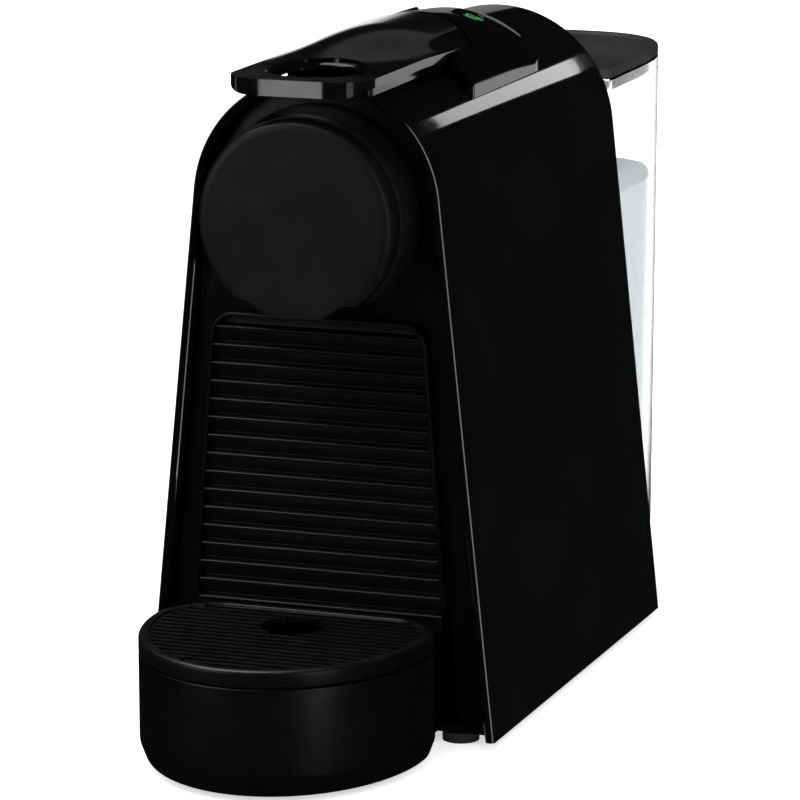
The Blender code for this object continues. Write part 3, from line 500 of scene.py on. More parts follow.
def circuit_board():
    """Green lacquer over copper tracks, with pads."""
    n = Nodes("circuit_board")
    tracks = n.add("ShaderNodeTexBrick")
    tracks.inputs["Scale"].default_value = 130.0
    tracks.inputs["Mortar Size"].default_value = 0.06
    tracks.inputs["Color1"].default_value = (0.012, 0.11, 0.045, 1.0)
    tracks.inputs["Color2"].default_value = (0.016, 0.14, 0.055, 1.0)
    tracks.inputs["Mortar"].default_value = (0.09, 0.3, 0.12, 1.0)
    n.link(n.place, tracks.inputs["Vector"])
    n.link(tracks.outputs["Color"], n.shader.inputs["Base Color"])
    n.link(n.ranged(n.cells(420.0), 0.25, 0.5, 0.0, 0.6), n.shader.inputs["Roughness"])
    n.bump(tracks.outputs["Fac"], 0.06)
    return n.material


def milky_silicone():
    """Slightly clear silicone for the hoses and seals."""
    n = Nodes("milky_silicone")
    colour = (0.72, 0.74, 0.76)
    shades = [(0.3, shade_of(colour, 0.9)), (0.7, shade_of(colour, 1.05))]
    n.link(n.ramp(n.noise(80.0), shades), n.shader.inputs["Base Color"])
    n.link(n.ranged(n.noise(260.0), 0.38, 0.6, 0.3, 0.7), n.shader.inputs["Roughness"])
    n.shader.inputs["Transmission Weight"].default_value = 0.25
    n.bump(n.noise(700.0), 0.02)
    return n.material


def clear_plastic():
    """The tank's clear wall: clean, faintly grey, with the slow waves of a moulding."""
    n = Nodes("clear_plastic")
    shades = [(0.3, (0.93, 0.945, 0.95)), (0.7, (0.97, 0.98, 0.985))]
    n.link(n.ramp(n.noise(20.0), shades), n.shader.inputs["Base Color"])
    n.link(n.ranged(n.noise(120.0), 0.0, 0.03, 0.35, 0.75), n.shader.inputs["Roughness"])
    n.shader.inputs["Transmission Weight"].default_value = 1.0
    n.shader.inputs["IOR"].default_value = WALL_BEND
    n.bump(n.noise(30.0, 1.0), 0.03)
    return n.material


def still_water():
    """Water that hardly bends the light, its grey colour painted darker towards the tank's back as painted
    shade.
    """
    n = Nodes("still_water")
    split = n.add("ShaderNodeSeparateXYZ")
    n.link(n.place, split.inputs["Vector"])
    # Painted shade: the colour ramp below makes the water's grey darker along Y, towards the tank's back.
    along = n.ranged(split.outputs["Y"], 0.0, 1.0, 0.085, 0.16)
    wander = n.add("ShaderNodeMath", operation="MULTIPLY_ADD")
    n.link(n.noise(14.0), wander.inputs[0])
    wander.inputs[1].default_value = 0.12
    n.link(along, wander.inputs[2])
    pale = [(0.0, (0.7, 0.72, 0.73)), (0.45, (0.55, 0.575, 0.59))]
    painted_shade_dark_stops = [(0.8, (0.32, 0.34, 0.355)), (1.0, (0.2, 0.215, 0.23))]
    n.link(n.ramp(wander.outputs["Value"], pale + painted_shade_dark_stops), n.shader.inputs["Base Color"])
    n.link(n.ranged(n.noise(40.0), 0.0, 0.02, 0.3, 0.7), n.shader.inputs["Roughness"])
    n.shader.inputs["Transmission Weight"].default_value = 1.0
    n.shader.inputs["IOR"].default_value = WATER_BEND
    n.bump(n.noise(55.0, 1.0), 0.008)
    return n.material


def printed(name, colour, glow):
    """The small print on a button, lit from behind where glow is above zero."""
    n = Nodes(name)
    shades = [(0.3, shade_of(colour, 0.85)), (0.7, colour)]
    print_colour = n.ramp(n.noise(900.0), shades)
    n.link(print_colour, n.shader.inputs["Base Color"])
    n.link(n.ranged(n.noise(1500.0), 0.4, 0.6), n.shader.inputs["Roughness"])
    n.shader.inputs["Emission Color"].default_value = (*colour, 1.0)
    n.shader.inputs["Emission Strength"].default_value = glow
    return n.material


LOOKS = {
    "piano_black": moulded("piano_black", (0.0009, 0.0011, 0.0013), 0.05, 420.0, 0.002, 0.3, 0.35),
    "lever_black": moulded("lever_black", (0.0016, 0.0018, 0.0022), 0.1, 600.0, 0.002, 0.3, 0.2),
    "satin_black": moulded("satin_black", (0.0011, 0.0012, 0.0015), 0.34, 2600.0, 0.01),
    "matte_black": moulded("matte_black", (0.0026, 0.0028, 0.0034), 0.44, 3200.0, 0.012),
    "lid_grey": moulded("lid_grey", (0.03, 0.032, 0.034), 0.42, 2400.0, 0.012),
    "soft_rubber": moulded("soft_rubber", (0.013, 0.013, 0.013), 0.82, 1500.0, 0.03),
    "white_plastic": moulded("white_plastic", (0.62, 0.62, 0.59), 0.42, 1800.0, 0.012, 0.06),
    "steel": metal("drawn_steel", (0.56, 0.56, 0.57), 0.26, (0.06, 1.0, 1.0)),
    "aluminium": metal("cast_aluminium", (0.68, 0.68, 0.69), 0.42, (1.0, 1.0, 1.0)),
    "copper": wound_copper(),
    "board_green": circuit_board(),
    "silicone": milky_silicone(),
    "clear": clear_plastic(),
    "water": still_water(),
    "lit_print": printed("lit_print", (0.06, 0.3, 0.09), 0.3),
    "pale_print": printed("pale_print", (0.42, 0.44, 0.46), 0.0),
}

# The looks of CAD nodes that stay, by the record's material slot.
SLOT_LOOKS = {
    "gloss_black": "piano_black",
    "satin_black": "satin_black",
    "matte_black": "matte_black",
    "lid_grey": "lid_grey",
    "clear": "clear",
    "rubber": "soft_rubber",
    "steel": "steel",
    "aluminium": "aluminium",
    "white_plastic": "white_plastic",
    "copper": "copper",
    "board_green": "board_green",
    "silicone": "silicone",
}


# ---------------------------------------------------------------- outlines shared with the CAD


def arch_outline(inset, low_z, count=73):
    """The shell's section in XZ, from the right foot over the arch to the left foot."""
    radius = SHELL_RADIUS - inset
    lean = math.degrees(SHELL_LEAN)
    over = arc((0, SHELL_CENTRE_Z), radius, lean, 180 - lean, count)
    foot = radius / math.cos(SHELL_LEAN) + (SHELL_CENTRE_Z - low_z) * math.tan(SHELL_LEAN)
    return [(foot, low_z)] + over + [(-foot, low_z)]


def panel_half(z, inset=0.0):
    """Half-width of the louvred bin front at a height."""
    return PANEL_FOOT_HALF - z * PANEL_TAPER - inset


def gate_line(margin, low_z):
    """A line round the bin front, margin outside it, from the left foot over the top to the right foot."""
    top = PANEL_HIGH.z + margin
    half = panel_half(top) + margin
    corner = PANEL_CORNER + margin
    foot = panel_half(low_z) + margin
    line = [(-foot, low_z)]
    line += arc((-half + corner, top - corner), corner, 176, 90, 12)
    line += arc((half - corner, top - corner), corner, 90, 4, 12)
    return line + [(foot, low_z)]


def tray_front_curve(inset, count=61):
    """The tray's round front, from its right side to its left side."""
    half = TRAY_HIGH.x - inset
    depth = TRAY_WIDEST_Y - TRAY_LOW.y - inset
    points = []
    for i in range(count):
        angle = math.pi * i / (count - 1)
        points.append((half * math.cos(angle), TRAY_WIDEST_Y - depth * math.sin(angle)))
    return points


def tray_round(inset, turn, count=18):
    """The tray's plan: its front curve, and behind the widest place a shallower one that ends at turn."""
    half = TRAY_HIGH.x - inset
    depth = TRAY_BACK_DEPTH - inset
    back = []
    for i in range(count):
        angle = turn * (count - i) / count
        back.append((half * math.cos(angle), TRAY_WIDEST_Y + depth * math.sin(angle)))
    return back + tray_front_curve(inset) + [(-x, y) for x, y in reversed(back)]


def tray_outline(inset, z):
    """The tray's plan, with the tongue that reaches back under the bin."""
    tongue = TONGUE_HALF - inset
    rear = TRAY_HIGH.y - inset
    turn = math.acos(tongue / (TRAY_HIGH.x - inset))
    return [(tongue, rear)] + tray_round(inset, turn) + [(-tongue, rear)]


def grid_outline(inset, z):
    """The tray's plan cut off straight at the rear, with small corners."""
    depth = TRAY_BACK_DEPTH - inset
    turn = math.asin((GRID_HIGH.y - inset - TRAY_WIDEST_Y) / depth)
    outline = tray_round(inset, turn)
    x, y = outline[0]
    ahead = outline[1]
    side = Vector((x, y)).lerp(Vector(ahead), 0.6)
    right = [(x - 1.4, y), (x - 0.4, y - 0.2), tuple(side)]
    return right + outline[1:-1] + [(-u, v) for u, v in reversed(right)]


def tank_outline(inset, z):
    """The tank's D-shaped plan: flat front, straight sides and a full round back."""
    rise = (z - TANK_LOW.z) / (LID_HIGH.z - TANK_LOW.z)
    half = TANK_FOOT_HALF + (LID_HIGH.x - TANK_FOOT_HALF) * rise - inset
    depth = LID_HIGH.y - TANK_STRAIGHT_Y - inset
    front = TANK_LOW.y + inset
    points = arc((half - 5.0, front + 5.0), 5.0, -90, 0, 6)
    for i in range(73):
        angle = math.pi * i / 72
        x = math.copysign(abs(math.cos(angle)) ** 0.75, math.cos(angle))
        points.append((half * x, TANK_STRAIGHT_Y + depth * math.sin(angle) ** 0.75))
    points += [(-x, y) for x, y in reversed(points[:6])]
    return points


def cover_section(y, inset, low_z=None, count=41):
    """The raised cover's section at y: straight sides under a shallow arch, down to the shell or to low_z."""
    centre_z = COVER_CENTRE_Z - COVER_REAR_DROP * smoothstep(COVER_CREST_Y, COVER_HIGH.y + 10, y)
    half = COVER_HIGH.x - inset
    radius = COVER_RADIUS - inset
    edge = math.degrees(math.acos(half / radius))
    top = arc((0, centre_z), radius, edge, 180 - edge, count)
    shoulder = top[0][1]
    if low_z is None:
        seat = SHELL_RADIUS + GAP
        foot = math.degrees(math.acos(half / seat))
        bottom = arc((0, SHELL_CENTRE_Z), seat, 180 - foot, foot, count)
    else:
        bottom = [(-half + 2 * half * i / (count - 1), low_z) for i in range(count)]
    ease = 0.8
    lean = math.radians(edge)
    right = [(half, shoulder - ease), (half - 0.1, shoulder - 0.35)]
    top[0] = (half - ease * math.sin(lean) * 0.5, shoulder + ease * math.cos(lean) * 0.35)
    top[-1] = (-top[0][0], top[0][1])
    left = [(-x, z) for x, z in reversed(right)]
    return [(x, y, z) for x, z in right + top + left + bottom]


def lever_rear_y(u):
    """The lever's bulging rear edge. u runs from -1 at its left side to 1 at its right side."""
    return LEVER_SIDE_REAR_Y + LEVER_REAR_BULGE * (1 - u * u)


def lever_front_y(u):
    """The lever's front edge: straight, with a round corner at each side."""
    x = abs(u) * LEVER_HALF
    start = LEVER_HALF - LEVER_CORNER
    if x <= start:
        return LEVER_LOW.y
    across = min(1.0, (x - start) / LEVER_CORNER)
    return LEVER_LOW.y + LEVER_CORNER * (1 - math.sqrt(1 - across * across))


def lever_top_z(x, y):
    """The plate is flat at the front and rises to the cover's arch towards the rear."""
    sunk = math.sqrt(COVER_RADIUS**2 - LEVER_HALF**2)
    share = (math.sqrt(COVER_RADIUS**2 - x * x) - sunk) / (COVER_RADIUS - sunk)
    dip = LEVER_CORNER_DROP * smoothstep(15, LEVER_HALF, abs(x)) * smoothstep(-60, -22, y)
    return LEVER_EDGE_Z + (LEVER_HIGH.z - LEVER_EDGE_Z) * share * smoothstep(-88, -28, y) - dip


def button_axis(side):
    """The cover's outward normal at a button. side is -1 at the left and 1 at the right."""
    tilt = side * math.asin(BUTTON_X / COVER_RADIUS)
    return Vector((math.sin(tilt), 0, math.cos(tilt)))


def button_face(side):
    """The point on the cover at the middle of a button."""
    drop = COVER_REAR_DROP * smoothstep(COVER_CREST_Y, COVER_HIGH.y + 10, BUTTON_Y)
    height = COVER_CENTRE_Z - drop + math.sqrt(COVER_RADIUS**2 - BUTTON_X**2)
    return Vector((BUTTON_X * side, BUTTON_Y, height))


# ---------------------------------------------------------------- casing


def make_shell():
    """The gloss arch with a rounded front lip, open on top for the pod and the linkage."""
    front = SHELL_LOW.y
    rear = SHELL_HIGH.y
    wall = rounded([(0, rear, 0.9), (0, front, 1.5), (SHELL_WALL, front, 1.6), (SHELL_WALL, rear, 0.4)], 5)
    outlines = [[(x, y, z) for x, z in arch_outline(inset, SHELL_LOW.z)] for inset, y in wall]
    obj = loft("shell_arch", list(zip(*outlines)))
    cutters = [block("shell_cutter", *ends, SLOT_CORNER) for ends in (POD_SLOT, LINKAGE_SLOT, CROWN_FLAT)]
    cut(obj, *cutters)
    return finish_piece(obj, "machine", "piano_black", ["outer_shell"])


def make_cover():
    """The raised cover behind the lever: hollow, with a seam near its front and two button holes."""
    front = COVER_LOW.y
    rear = COVER_HIGH.y
    seam = front + 2.3
    stations = [(front, 0.7), (front + 0.25, 0.25), (front + 0.8, 0.0)]
    stations += [(seam, 0.0), (seam + 0.1, 0.6), (seam + 0.6, 0.6), (seam + 0.7, 0.0)]
    stations += [(-25, 0.0), (-15, 0.0), (COVER_CREST_Y, 0.0)]
    stations += [(y, 0.0) for y in range(-1, int(rear) - 1, 4)]
    stations += [(rear - 0.9, 0.0), (rear - 0.3, 0.28), (rear, 0.9)]
    obj = loft("cover_spine", [cover_section(y, inset) for y, inset in stations])
    hollow = [front - 5, -20, COVER_CREST_Y, 3, 10, 17, rear - COVER_WALL]
    inside = loft("cover_hollow", [cover_section(y, COVER_WALL, 170) for y in hollow])
    reach = LEVER_HALF + 0.6
    gate = []
    for i in range(25):
        x = -reach + 2 * reach * i / 24
        gate.append((x, lever_rear_y(x / LEVER_HALF) + LEVER_GATE_GAP))
    opening = plate("lever_gate", [[(reach, -50), *reversed(gate), (-reach, -50)]], "XY", 180, 215)
    cutters = [inside, opening]
    for side in (-1, 1):
        axis = button_axis(side)
        face = button_face(side)
        cutters.append(rod(f"button_hole_{side}", face - axis * 6, face + axis * 6, BUTTON_RADIUS + 0.4))
    cut(obj, *cutters)
    return finish_piece(obj, "machine", "piano_black", ["spine_cover"])


def make_front_frame():
    """The arch-shaped front plate, open below for the bin and the tray."""
    low = FRAME_LOW.z
    outline = arch_outline(SHELL_WALL + GAP, low) + gate_line(1.0, low)
    obj = plate("front_frame_plate", [outline], "XZ", FRAME_LOW.y, FRAME_HIGH.y, 0.7)
    return finish_piece(obj, "machine", "satin_black", ["front_frame"])


def make_gate_bead():
    """The raised bead round the bin front, as deep as the ribs."""
    outline = gate_line(1.5, BEAD_LOW_Z) + gate_line(0.4, BEAD_LOW_Z)[::-1]
    obj = plate("gate_bead", [outline], "XZ", PANEL_LOW.y - 0.2, FRAME_LOW.y + 0.1, 0.35)
    return finish_piece(obj, "machine", "satin_black")


# ---------------------------------------------------------------- head


def trim_floor(obj, low_z):
    """Cuts a turned piece flat below low_z."""
    return cut(obj, block(f"{obj.name}_floor", (-45, -125, 90), (45, -70, low_z)))


def trim_lobe(obj, low_z):
    """Cuts the disc flat below low_z, but for a lobe in the middle that covers the spout."""
    right = [(45, 90, 0), (45, low_z, 0), (LOBE_HALF, low_z, 1.6), (LOBE_LOW_HALF, LOBE_LOW_Z, 2.4)]
    left = [(-u, v, radius) for u, v, radius in reversed(right)]
    return cut(obj, plate(f"{obj.name}_floor", [rounded(right + left, 6)], "XZ", -125, -70))


def make_head():
    """The brewing head: a turned drum and the disc in front of it, with a groove between them."""
    back = FRAME_LOW.y
    face = back - CAP_LOW.y
    groove = back - CAP_HIGH.y
    rim = back - DRUM_LOW.y
    cap = rounded(
        [
            (DISC_RADIUS - 2.4, groove, 0.0),
            (DISC_RADIUS, groove, 0.4),
            (DISC_RADIUS, face, 3.2),
            (DISC_RADIUS - 6.0, face, 0.0),
        ],
        8,
    )
    cap += [(12.0, face), (0, face), (0, face - 3.0), (DISC_RADIUS - 2.4, face - 3.0)]
    drum = rounded(
        [
            (DISC_RADIUS - 2.2, rim, 0.2),
            (DISC_RADIUS + 0.3, rim, 0.5),
            (DISC_RADIUS + 0.9, rim - 1.6, 2.0),
            (DRUM_RADIUS, 4.9, 3.0),
            (DRUM_RADIUS, 0.3, 0.3),
            (DRUM_RADIUS - 2.4, 0.3, 0.2),
        ],
        4,
    )
    centre = (0, back, HEAD_Z)
    drum_obj = trim_floor(turned("head_drum_ring", drum, centre, (0, -1, 0), 160), DRUM_LOW.z)
    cap_obj = trim_lobe(turned("head_disc", cap, centre, (0, -1, 0), 160), CAP_LOW.z)
    soften(cap_obj, 0.6, 3, 60)
    finish_piece(drum_obj, "machine", "matte_black", ["head_drum"])
    finish_piece(cap_obj, "machine", "matte_black", ["head_cap"])


def make_outlet():
    """The coffee outlet: a plate that closes the drum's flat underside, and a spout with two openings."""
    floor_z = CAP_LOW.z + 0.2
    low = OUTLET_LOW.z
    half = OUTLET_HIGH.x
    front = (-half, -102.8, 3.0), (half, -102.8, 3.0)
    back = (half, OUTLET_HIGH.y, 0.5), (-half, OUTLET_HIGH.y, 0.5)
    obj = plate("outlet_spout", [rounded([*front, *back])], "XY", floor_z, OUTLET_HIGH.z, 0.3)
    neck = plate("spout_neck", [slot_hole((-5, -97), (5, -97), 5.0)], "XY", floor_z - 1.2, floor_z + 1.3)
    spout = plate("spout_body", [slot_hole((-4, -98), (4, -98), 5.8, 25)], "XY", low, floor_z - 0.4, 1.2)
    join(obj, neck, spout)
    holes = [rod(f"outlet_hole_{x}", (x, -98, 120), (x, -98, 145), 2.1, 32) for x in (-5, 5)]
    cut(obj, *holes)
    return finish_piece(obj, "machine", "lever_black", ["coffee_outlet"])


# ---------------------------------------------------------------- lever and buttons


def border(grid):
    """The outer points of a grid of rows, once round."""
    right = [row[-1] for row in grid[1:]]
    left = [row[0] for row in grid[-2:0:-1]]
    return grid[0] + right + grid[-1][-2::-1] + left


def make_lever():
    """The curved plate on a fine grid, its finger hole flared at the top."""
    columns = 49
    rows = 97
    shape = bmesh.new()
    tops = []
    floors = []
    for r in range(rows):
        t = r / (rows - 1)
        top_line = []
        floor_line = []
        for c in range(columns):
            u = math.sin((c / (columns - 1) - 0.5) * math.pi)
            y = lever_front_y(u) + (lever_rear_y(u) - lever_front_y(u)) * t
            x = u * LEVER_HALF
            z = lever_top_z(x, y)
            top_line.append(shape.verts.new((x * MM, y * MM, z * MM)))
            lip = LEVER_LIP * (1 - smoothstep(LEVER_LOW.y, LEVER_LIP_END_Y, y))
            floor_line.append(shape.verts.new((x * MM, y * MM, (z - LEVER_THICK - lip) * MM)))
        tops.append(top_line)
        floors.append(floor_line)
    for near, far in zip(tops, tops[1:]):
        for i in range(columns - 1):
            shape.faces.new((near[i], near[i + 1], far[i + 1], far[i]))
    for near, far in zip(floors, floors[1:]):
        for i in range(columns - 1):
            shape.faces.new((near[i], far[i], far[i + 1], near[i + 1]))
    rim_top = border(tops)
    rim_floor = border(floors)
    count = len(rim_top)
    for i in range(count):
        j = (i + 1) % count
        shape.faces.new((rim_floor[i], rim_floor[j], rim_top[j], rim_top[i]))
    obj = new_object("lever_top", mesh_from(shape, "lever_top"))
    flare = [
        (0, 12.0),
        (LEVER_HOLE_RADIUS + 1.6, 12.0),
        (LEVER_HOLE_RADIUS + 1.5, -0.1),
        (LEVER_HOLE_RADIUS + 0.9, -0.35),
        (LEVER_HOLE_RADIUS + 0.3, -1.0),
        (LEVER_HOLE_RADIUS, -2.0),
        (LEVER_HOLE_RADIUS, -12.0),
        (0, -12.0),
    ]
    rails = []
    for x in (-20.6, 18.8):
        rails.append(block("lever_rail", (x, -97, RAIL_LOW_Z), (x + 1.8, -38, LEVER_EDGE_Z - 1), 0.8))
    join(obj, *rails)
    cut(obj, turned("finger_hole", flare, (0, LEVER_HOLE_Y, LEVER_EDGE_Z), (0, 0, 1), 96))
    soften(obj, 0.45, 3, 55)
    return finish_piece(obj, "lever", "lever_black", ["lever_plate"])


def make_button(name, side, cup_width, look):
    """A round button with a dished top and a plain cup sign printed on it."""
    profile = rounded(
        [
            (BUTTON_RADIUS - 1.6, 0.3, 0.4),
            (BUTTON_RADIUS - 0.4, 0.35, 0.5),
            (BUTTON_RADIUS, -0.3, 0.5),
            (BUTTON_RADIUS, -3.6, 0.2),
            (2.2, -3.6, 0.2),
            (2.2, -8.0, 0.3),
        ],
        3,
    )
    profile = [(0, -0.1), (2.5, -0.05)] + profile + [(0, -8.0)]
    axis = button_axis(side)
    obj = turned(name, profile, button_face(side), axis, 64)
    node = name.removesuffix("_cap")
    finish_piece(obj, node, "lever_black", [node])
    make_cup_sign(f"{node}_sign", side, cup_width, look)


def make_cup_sign(name, side, width, look):
    """A cup seen from the side, with its handle and a saucer line, lying just above the button."""
    half = width / 2
    tall = width * 0.55
    bowl = rounded([(-half, tall, 0.1), (-half * 0.8, 0, 0.5), (half * 0.8, 0, 0.5), (half, tall, 0.1)], 4)
    hollow = [(x * 0.76, tall * 0.14 + z * 0.72) for x, z in bowl]
    handle_outer = circle((half + 0.35, tall * 0.6), tall * 0.36, 20)
    handle_inner = circle((half + 0.35, tall * 0.6), tall * 0.2, 20)
    saucer = [(-half, -0.7), (half, -0.7), (half, -0.4), (-half, -0.4)]
    obj = plate(name, [bowl, hollow, saucer], "XY", -0.04, 0.04)
    join(obj, plate("handle", [handle_outer, handle_inner], "XY", -0.04, 0.04))
    turn = Vector((0, 0, 1)).rotation_difference(button_axis(side)).to_matrix().to_4x4()
    centre = button_face(side) + button_axis(side) * 0.06 - Vector((0, tall * 0.4, 0))
    obj.data.transform(Matrix.Translation(centre * MM) @ turn)
    body = "button_left" if side < 0 else "button_right"
    return finish_piece(obj, body, look)


# ---------------------------------------------------------------- bin front, tray and grid


def make_bin_front():
    """The louvred front: rounded ribs over sloping slats, on a solid back."""
    front = PANEL_LOW.y
    floor = front + RIB_DEPTH
    corners = [(front, PANEL_LOW.z, 0.5)]
    for i in range(RIB_COUNT):
        z = RIB_FIRST_Z + RIB_PITCH * i
        corners += [(front + 0.45, z - 1.1, 0.5), (front, z - 0.6, 0.3)]
        corners += [(front, z, 0.4), (floor, z + 0.6, 0.3)]
    corners += [(floor, PANEL_HIGH.z, 0.3), (PANEL_HIGH.y, PANEL_HIGH.z, 0.3)]
    corners += [(PANEL_HIGH.y, PANEL_LOW.z, 0.3)]
    outline = rounded(corners, 3)
    rings = []
    for side in (-1, 1):
        for inset in ((0.3, 0.09, 0.0) if side < 0 else (0.0, 0.09, 0.3)):
            shrink = inset * 0.6
            ring = []
            for y, z in outline:
                pulled = y + shrink if y < floor else y
                over = max(0.0, z - PANEL_HIGH.z + PANEL_CORNER)
                corner = PANEL_CORNER - math.sqrt(max(0.0, PANEL_CORNER**2 - over**2))
                ring.append((side * (panel_half(z, inset) - corner), pulled, z))
            rings.append(ring)
    obj = loft("bin_louvres", rings)
    return finish_piece(obj, "tray", "satin_black", ["bin_front"])


def make_tray():
    """The drip tray: one profile from the underside over the rim and down to the inner floor."""
    rim = TRAY_HIGH.z
    low = TRAY_LOW.z
    profile = rounded(
        [
            (6.5, low, 2.0),
            (2.2, low + 1.6, 4.0),
            (0, low + 7.4, 5.0),
            (0, rim, 0.6),
            (2.0, rim, 0.5),
            (2.0, low + 9.9, 2.0),
            (4.5, low + 8.2, 2.0),
        ],
        4,
    )
    # The rounding splits the first corner, so the loft starts at the innermost point of the underside.
    start = profile.index(max(profile, key=lambda point: (point[1] == low, point[0])))
    profile = profile[start:] + profile[:start]
    obj = stacked("tray_body", tray_outline, profile)
    return finish_piece(obj, "tray", "satin_black", ["drip_tray"])


def grid_half_width(y):
    """Half-width of the tray's plan at y."""
    depth = TRAY_BACK_DEPTH if y > TRAY_WIDEST_Y else TRAY_WIDEST_Y - TRAY_LOW.y
    along = (y - TRAY_WIDEST_Y) / depth
    return TRAY_HIGH.x * math.sqrt(max(0.0, 1 - along * along))


def make_grid():
    """The drip grid: a rounded rim and flat slats across, with a finger hole."""
    top = GRID_HIGH.z
    low = GRID_LOW.z
    sunk = 0.6
    profile = rounded(
        [
            (2.4, top - 2.2, 0.0),
            (2.0, low, 0.3),
            (0, low, 0.5),
            (0, top, 1.9),
            (3.0, top, 0.5),
            (3.3, top - sunk, 0.0),
        ],
        6,
    )
    obj = stacked("grid_slats", grid_outline, profile)
    front = TRAY_LOW.y + 4.0
    pitch = (GRID_HIGH.y - 4.0 - front) / SLAT_COUNT
    slots = []
    for i in range(SLAT_COUNT):
        y = front + pitch * (i + 0.5)
        half = grid_half_width(y) - 3.8
        width = pitch * 0.25
        slots.append(slot_hole((-half + width, y), (half - width, y), width, 9))
    bars = plate("grid_slots", slots, "XY", low - 5, top + 5)
    hole = rod("grid_hole", (0, GRID_HOLE_Y, low - 5), (0, GRID_HOLE_Y, top + 5), GRID_HOLE_RADIUS, 64)
    cut(obj, bars, hole)
    soften(obj, 0.45, 3, 60)
    return finish_piece(obj, "grid", "satin_black", ["drip_grid"])


# ---------------------------------------------------------------- tank


def make_tank():
    """The clear tank: a rounded foot, a thin wall and a hole in its floor for the valve."""
    low = TANK_LOW.z
    top = TANK_HIGH.z
    floor = low + TANK_FLOOR
    profile = [
        (3.0, low),
        (1.2, low + 0.4),
        (0.35, low + 1.2),
        (0, low + 2.5),
        (0, top - 0.4),
        (0.4, top),
        (TANK_WALL - 0.4, top),
        (TANK_WALL, top - 0.4),
        (TANK_WALL, floor + 3),
        (TANK_WALL + 0.5, floor + 1.4),
        (TANK_WALL + 1.6, floor + 0.4),
        (TANK_WALL + 3, floor),
    ]
    obj = stacked("tank_wall", tank_outline, profile)
    cut(obj, rod("valve_hole", (0, VALVE_Y, 5), (0, VALVE_Y, 25), 4.4))
    return finish_piece(obj, "tank", "clear", ["water_tank"])


def make_water():
    """The water in the tank, just clear of its wall, with the edge drawn up where it meets it."""
    floor = TANK_LOW.z + TANK_FLOOR
    near = TANK_WALL + 0.12
    profile = [
        (near + 3, floor + 5.4),
        (near + 0.2, floor + 6.2),
        (near, floor + 7),
        (near, WATER_TOP_Z + 0.9),
        (near + 0.5, WATER_TOP_Z + 0.35),
        (near + 1.6, WATER_TOP_Z),
    ]
    obj = stacked("tank_water", tank_outline, profile)
    return finish_piece(obj, "tank", "water")


def make_lid():
    """A flat lid with a raised rim and a skirt that sits inside the tank."""
    low = LID_LOW.z
    top = LID_HIGH.z
    seat = TANK_HIGH.z + GAP
    inner = TANK_WALL + 0.7
    profile = [
        (inner + 2.4, seat - 0.6),
        (inner + 1.6, low),
        (inner + 0.3, low),
        (inner, low + 0.4),
        (inner, seat),
        (0.3, seat),
        (0, seat + 0.3),
        (0, top - 0.9),
        (0.12, top - 0.45),
        (0.45, top - 0.12),
        (0.9, top),
        (3.2, top),
        (3.5, top - 0.12),
        (3.8, top - 0.7),
    ]
    obj = stacked("lid_cover", tank_outline, profile)
    return finish_piece(obj, "lid", "lid_grey", ["tank_lid"])


# ---------------------------------------------------------------- CAD nodes that stay


def dress_cad_nodes():
    """Gives every CAD node that still shows its procedural look, and softens edges that can be seen."""
    slots = {entry["node"]: entry["material_slot"] for entry in frame["record"]["subparts"]}
    for name, obj in frame["nodes"].items():
        if obj.hide_render:
            continue
        obj.data.materials.clear()
        obj.data.materials.append(LOOKS[SLOT_LOOKS[slots[name]]])
    for name in ("rear_panel", "tank_dock", "pod_bin", "thermoblock", "control_board"):
        soften(frame["nodes"][name], 0.35, 2)
    for name in ("foot_front_left", "foot_front_right", "foot_rear_left", "foot_rear_right", "foot_dock"):
        soften(frame["nodes"][name], 0.5, 2)


# ---------------------------------------------------------------- floor, light and camera


def make_floor():
    """A plain pale floor, big enough for every view."""
    shape = bmesh.new()
    bmesh.ops.create_grid(shape, x_segments=2, y_segments=2, size=12.0)
    floor = new_object("studio_floor", mesh_from(shape, "studio_floor"))
    n = Nodes("studio_floor")
    pale = n.ramp(n.noise(3.0), [(0.3, (0.95, 0.95, 0.95)), (0.7, (0.96, 0.96, 0.96))])
    n.link(pale, n.shader.inputs["Base Color"])
    n.link(pale, n.shader.inputs["Emission Color"])
    n.shader.inputs["Emission Strength"].default_value = FLOOR_GLOW
    n.shader.inputs["Roughness"].default_value = 1.0
    n.shader.inputs["Specular IOR Level"].default_value = 0.0
    floor.data.materials.append(n.material)
    floor.visible_glossy = False
    floor.visible_shadow = False


def make_world():
    """White for what the camera sees and for diffuse light, dark where the gloss reflects it."""
    world = bpy.data.worlds.new("studio")
    bpy.context.scene.world = world
    world.use_nodes = True
    world.cycles.sampling_method = "NONE"
    tree = world.node_tree
    white = tree.nodes["Background"]
    white.inputs["Color"].default_value = (1.0, 1.0, 1.0, 1.0)
    white.inputs["Strength"].default_value = 1.15
    dark = tree.nodes.new("ShaderNodeBackground")
    dark.inputs["Color"].default_value = (0.85, 0.93, 1.0, 1.0)
    dark.inputs["Strength"].default_value = 0.006
    path = tree.nodes.new("ShaderNodeLightPath")
    mix = tree.nodes.new("ShaderNodeMixShader")
    tree.links.new(path.outputs["Is Glossy Ray"], mix.inputs["Fac"])
    tree.links.new(white.outputs["Background"], mix.inputs[1])
    tree.links.new(dark.outputs["Background"], mix.inputs[2])
    tree.links.new(mix.outputs["Shader"], tree.nodes["World Output"].inputs["Surface"])


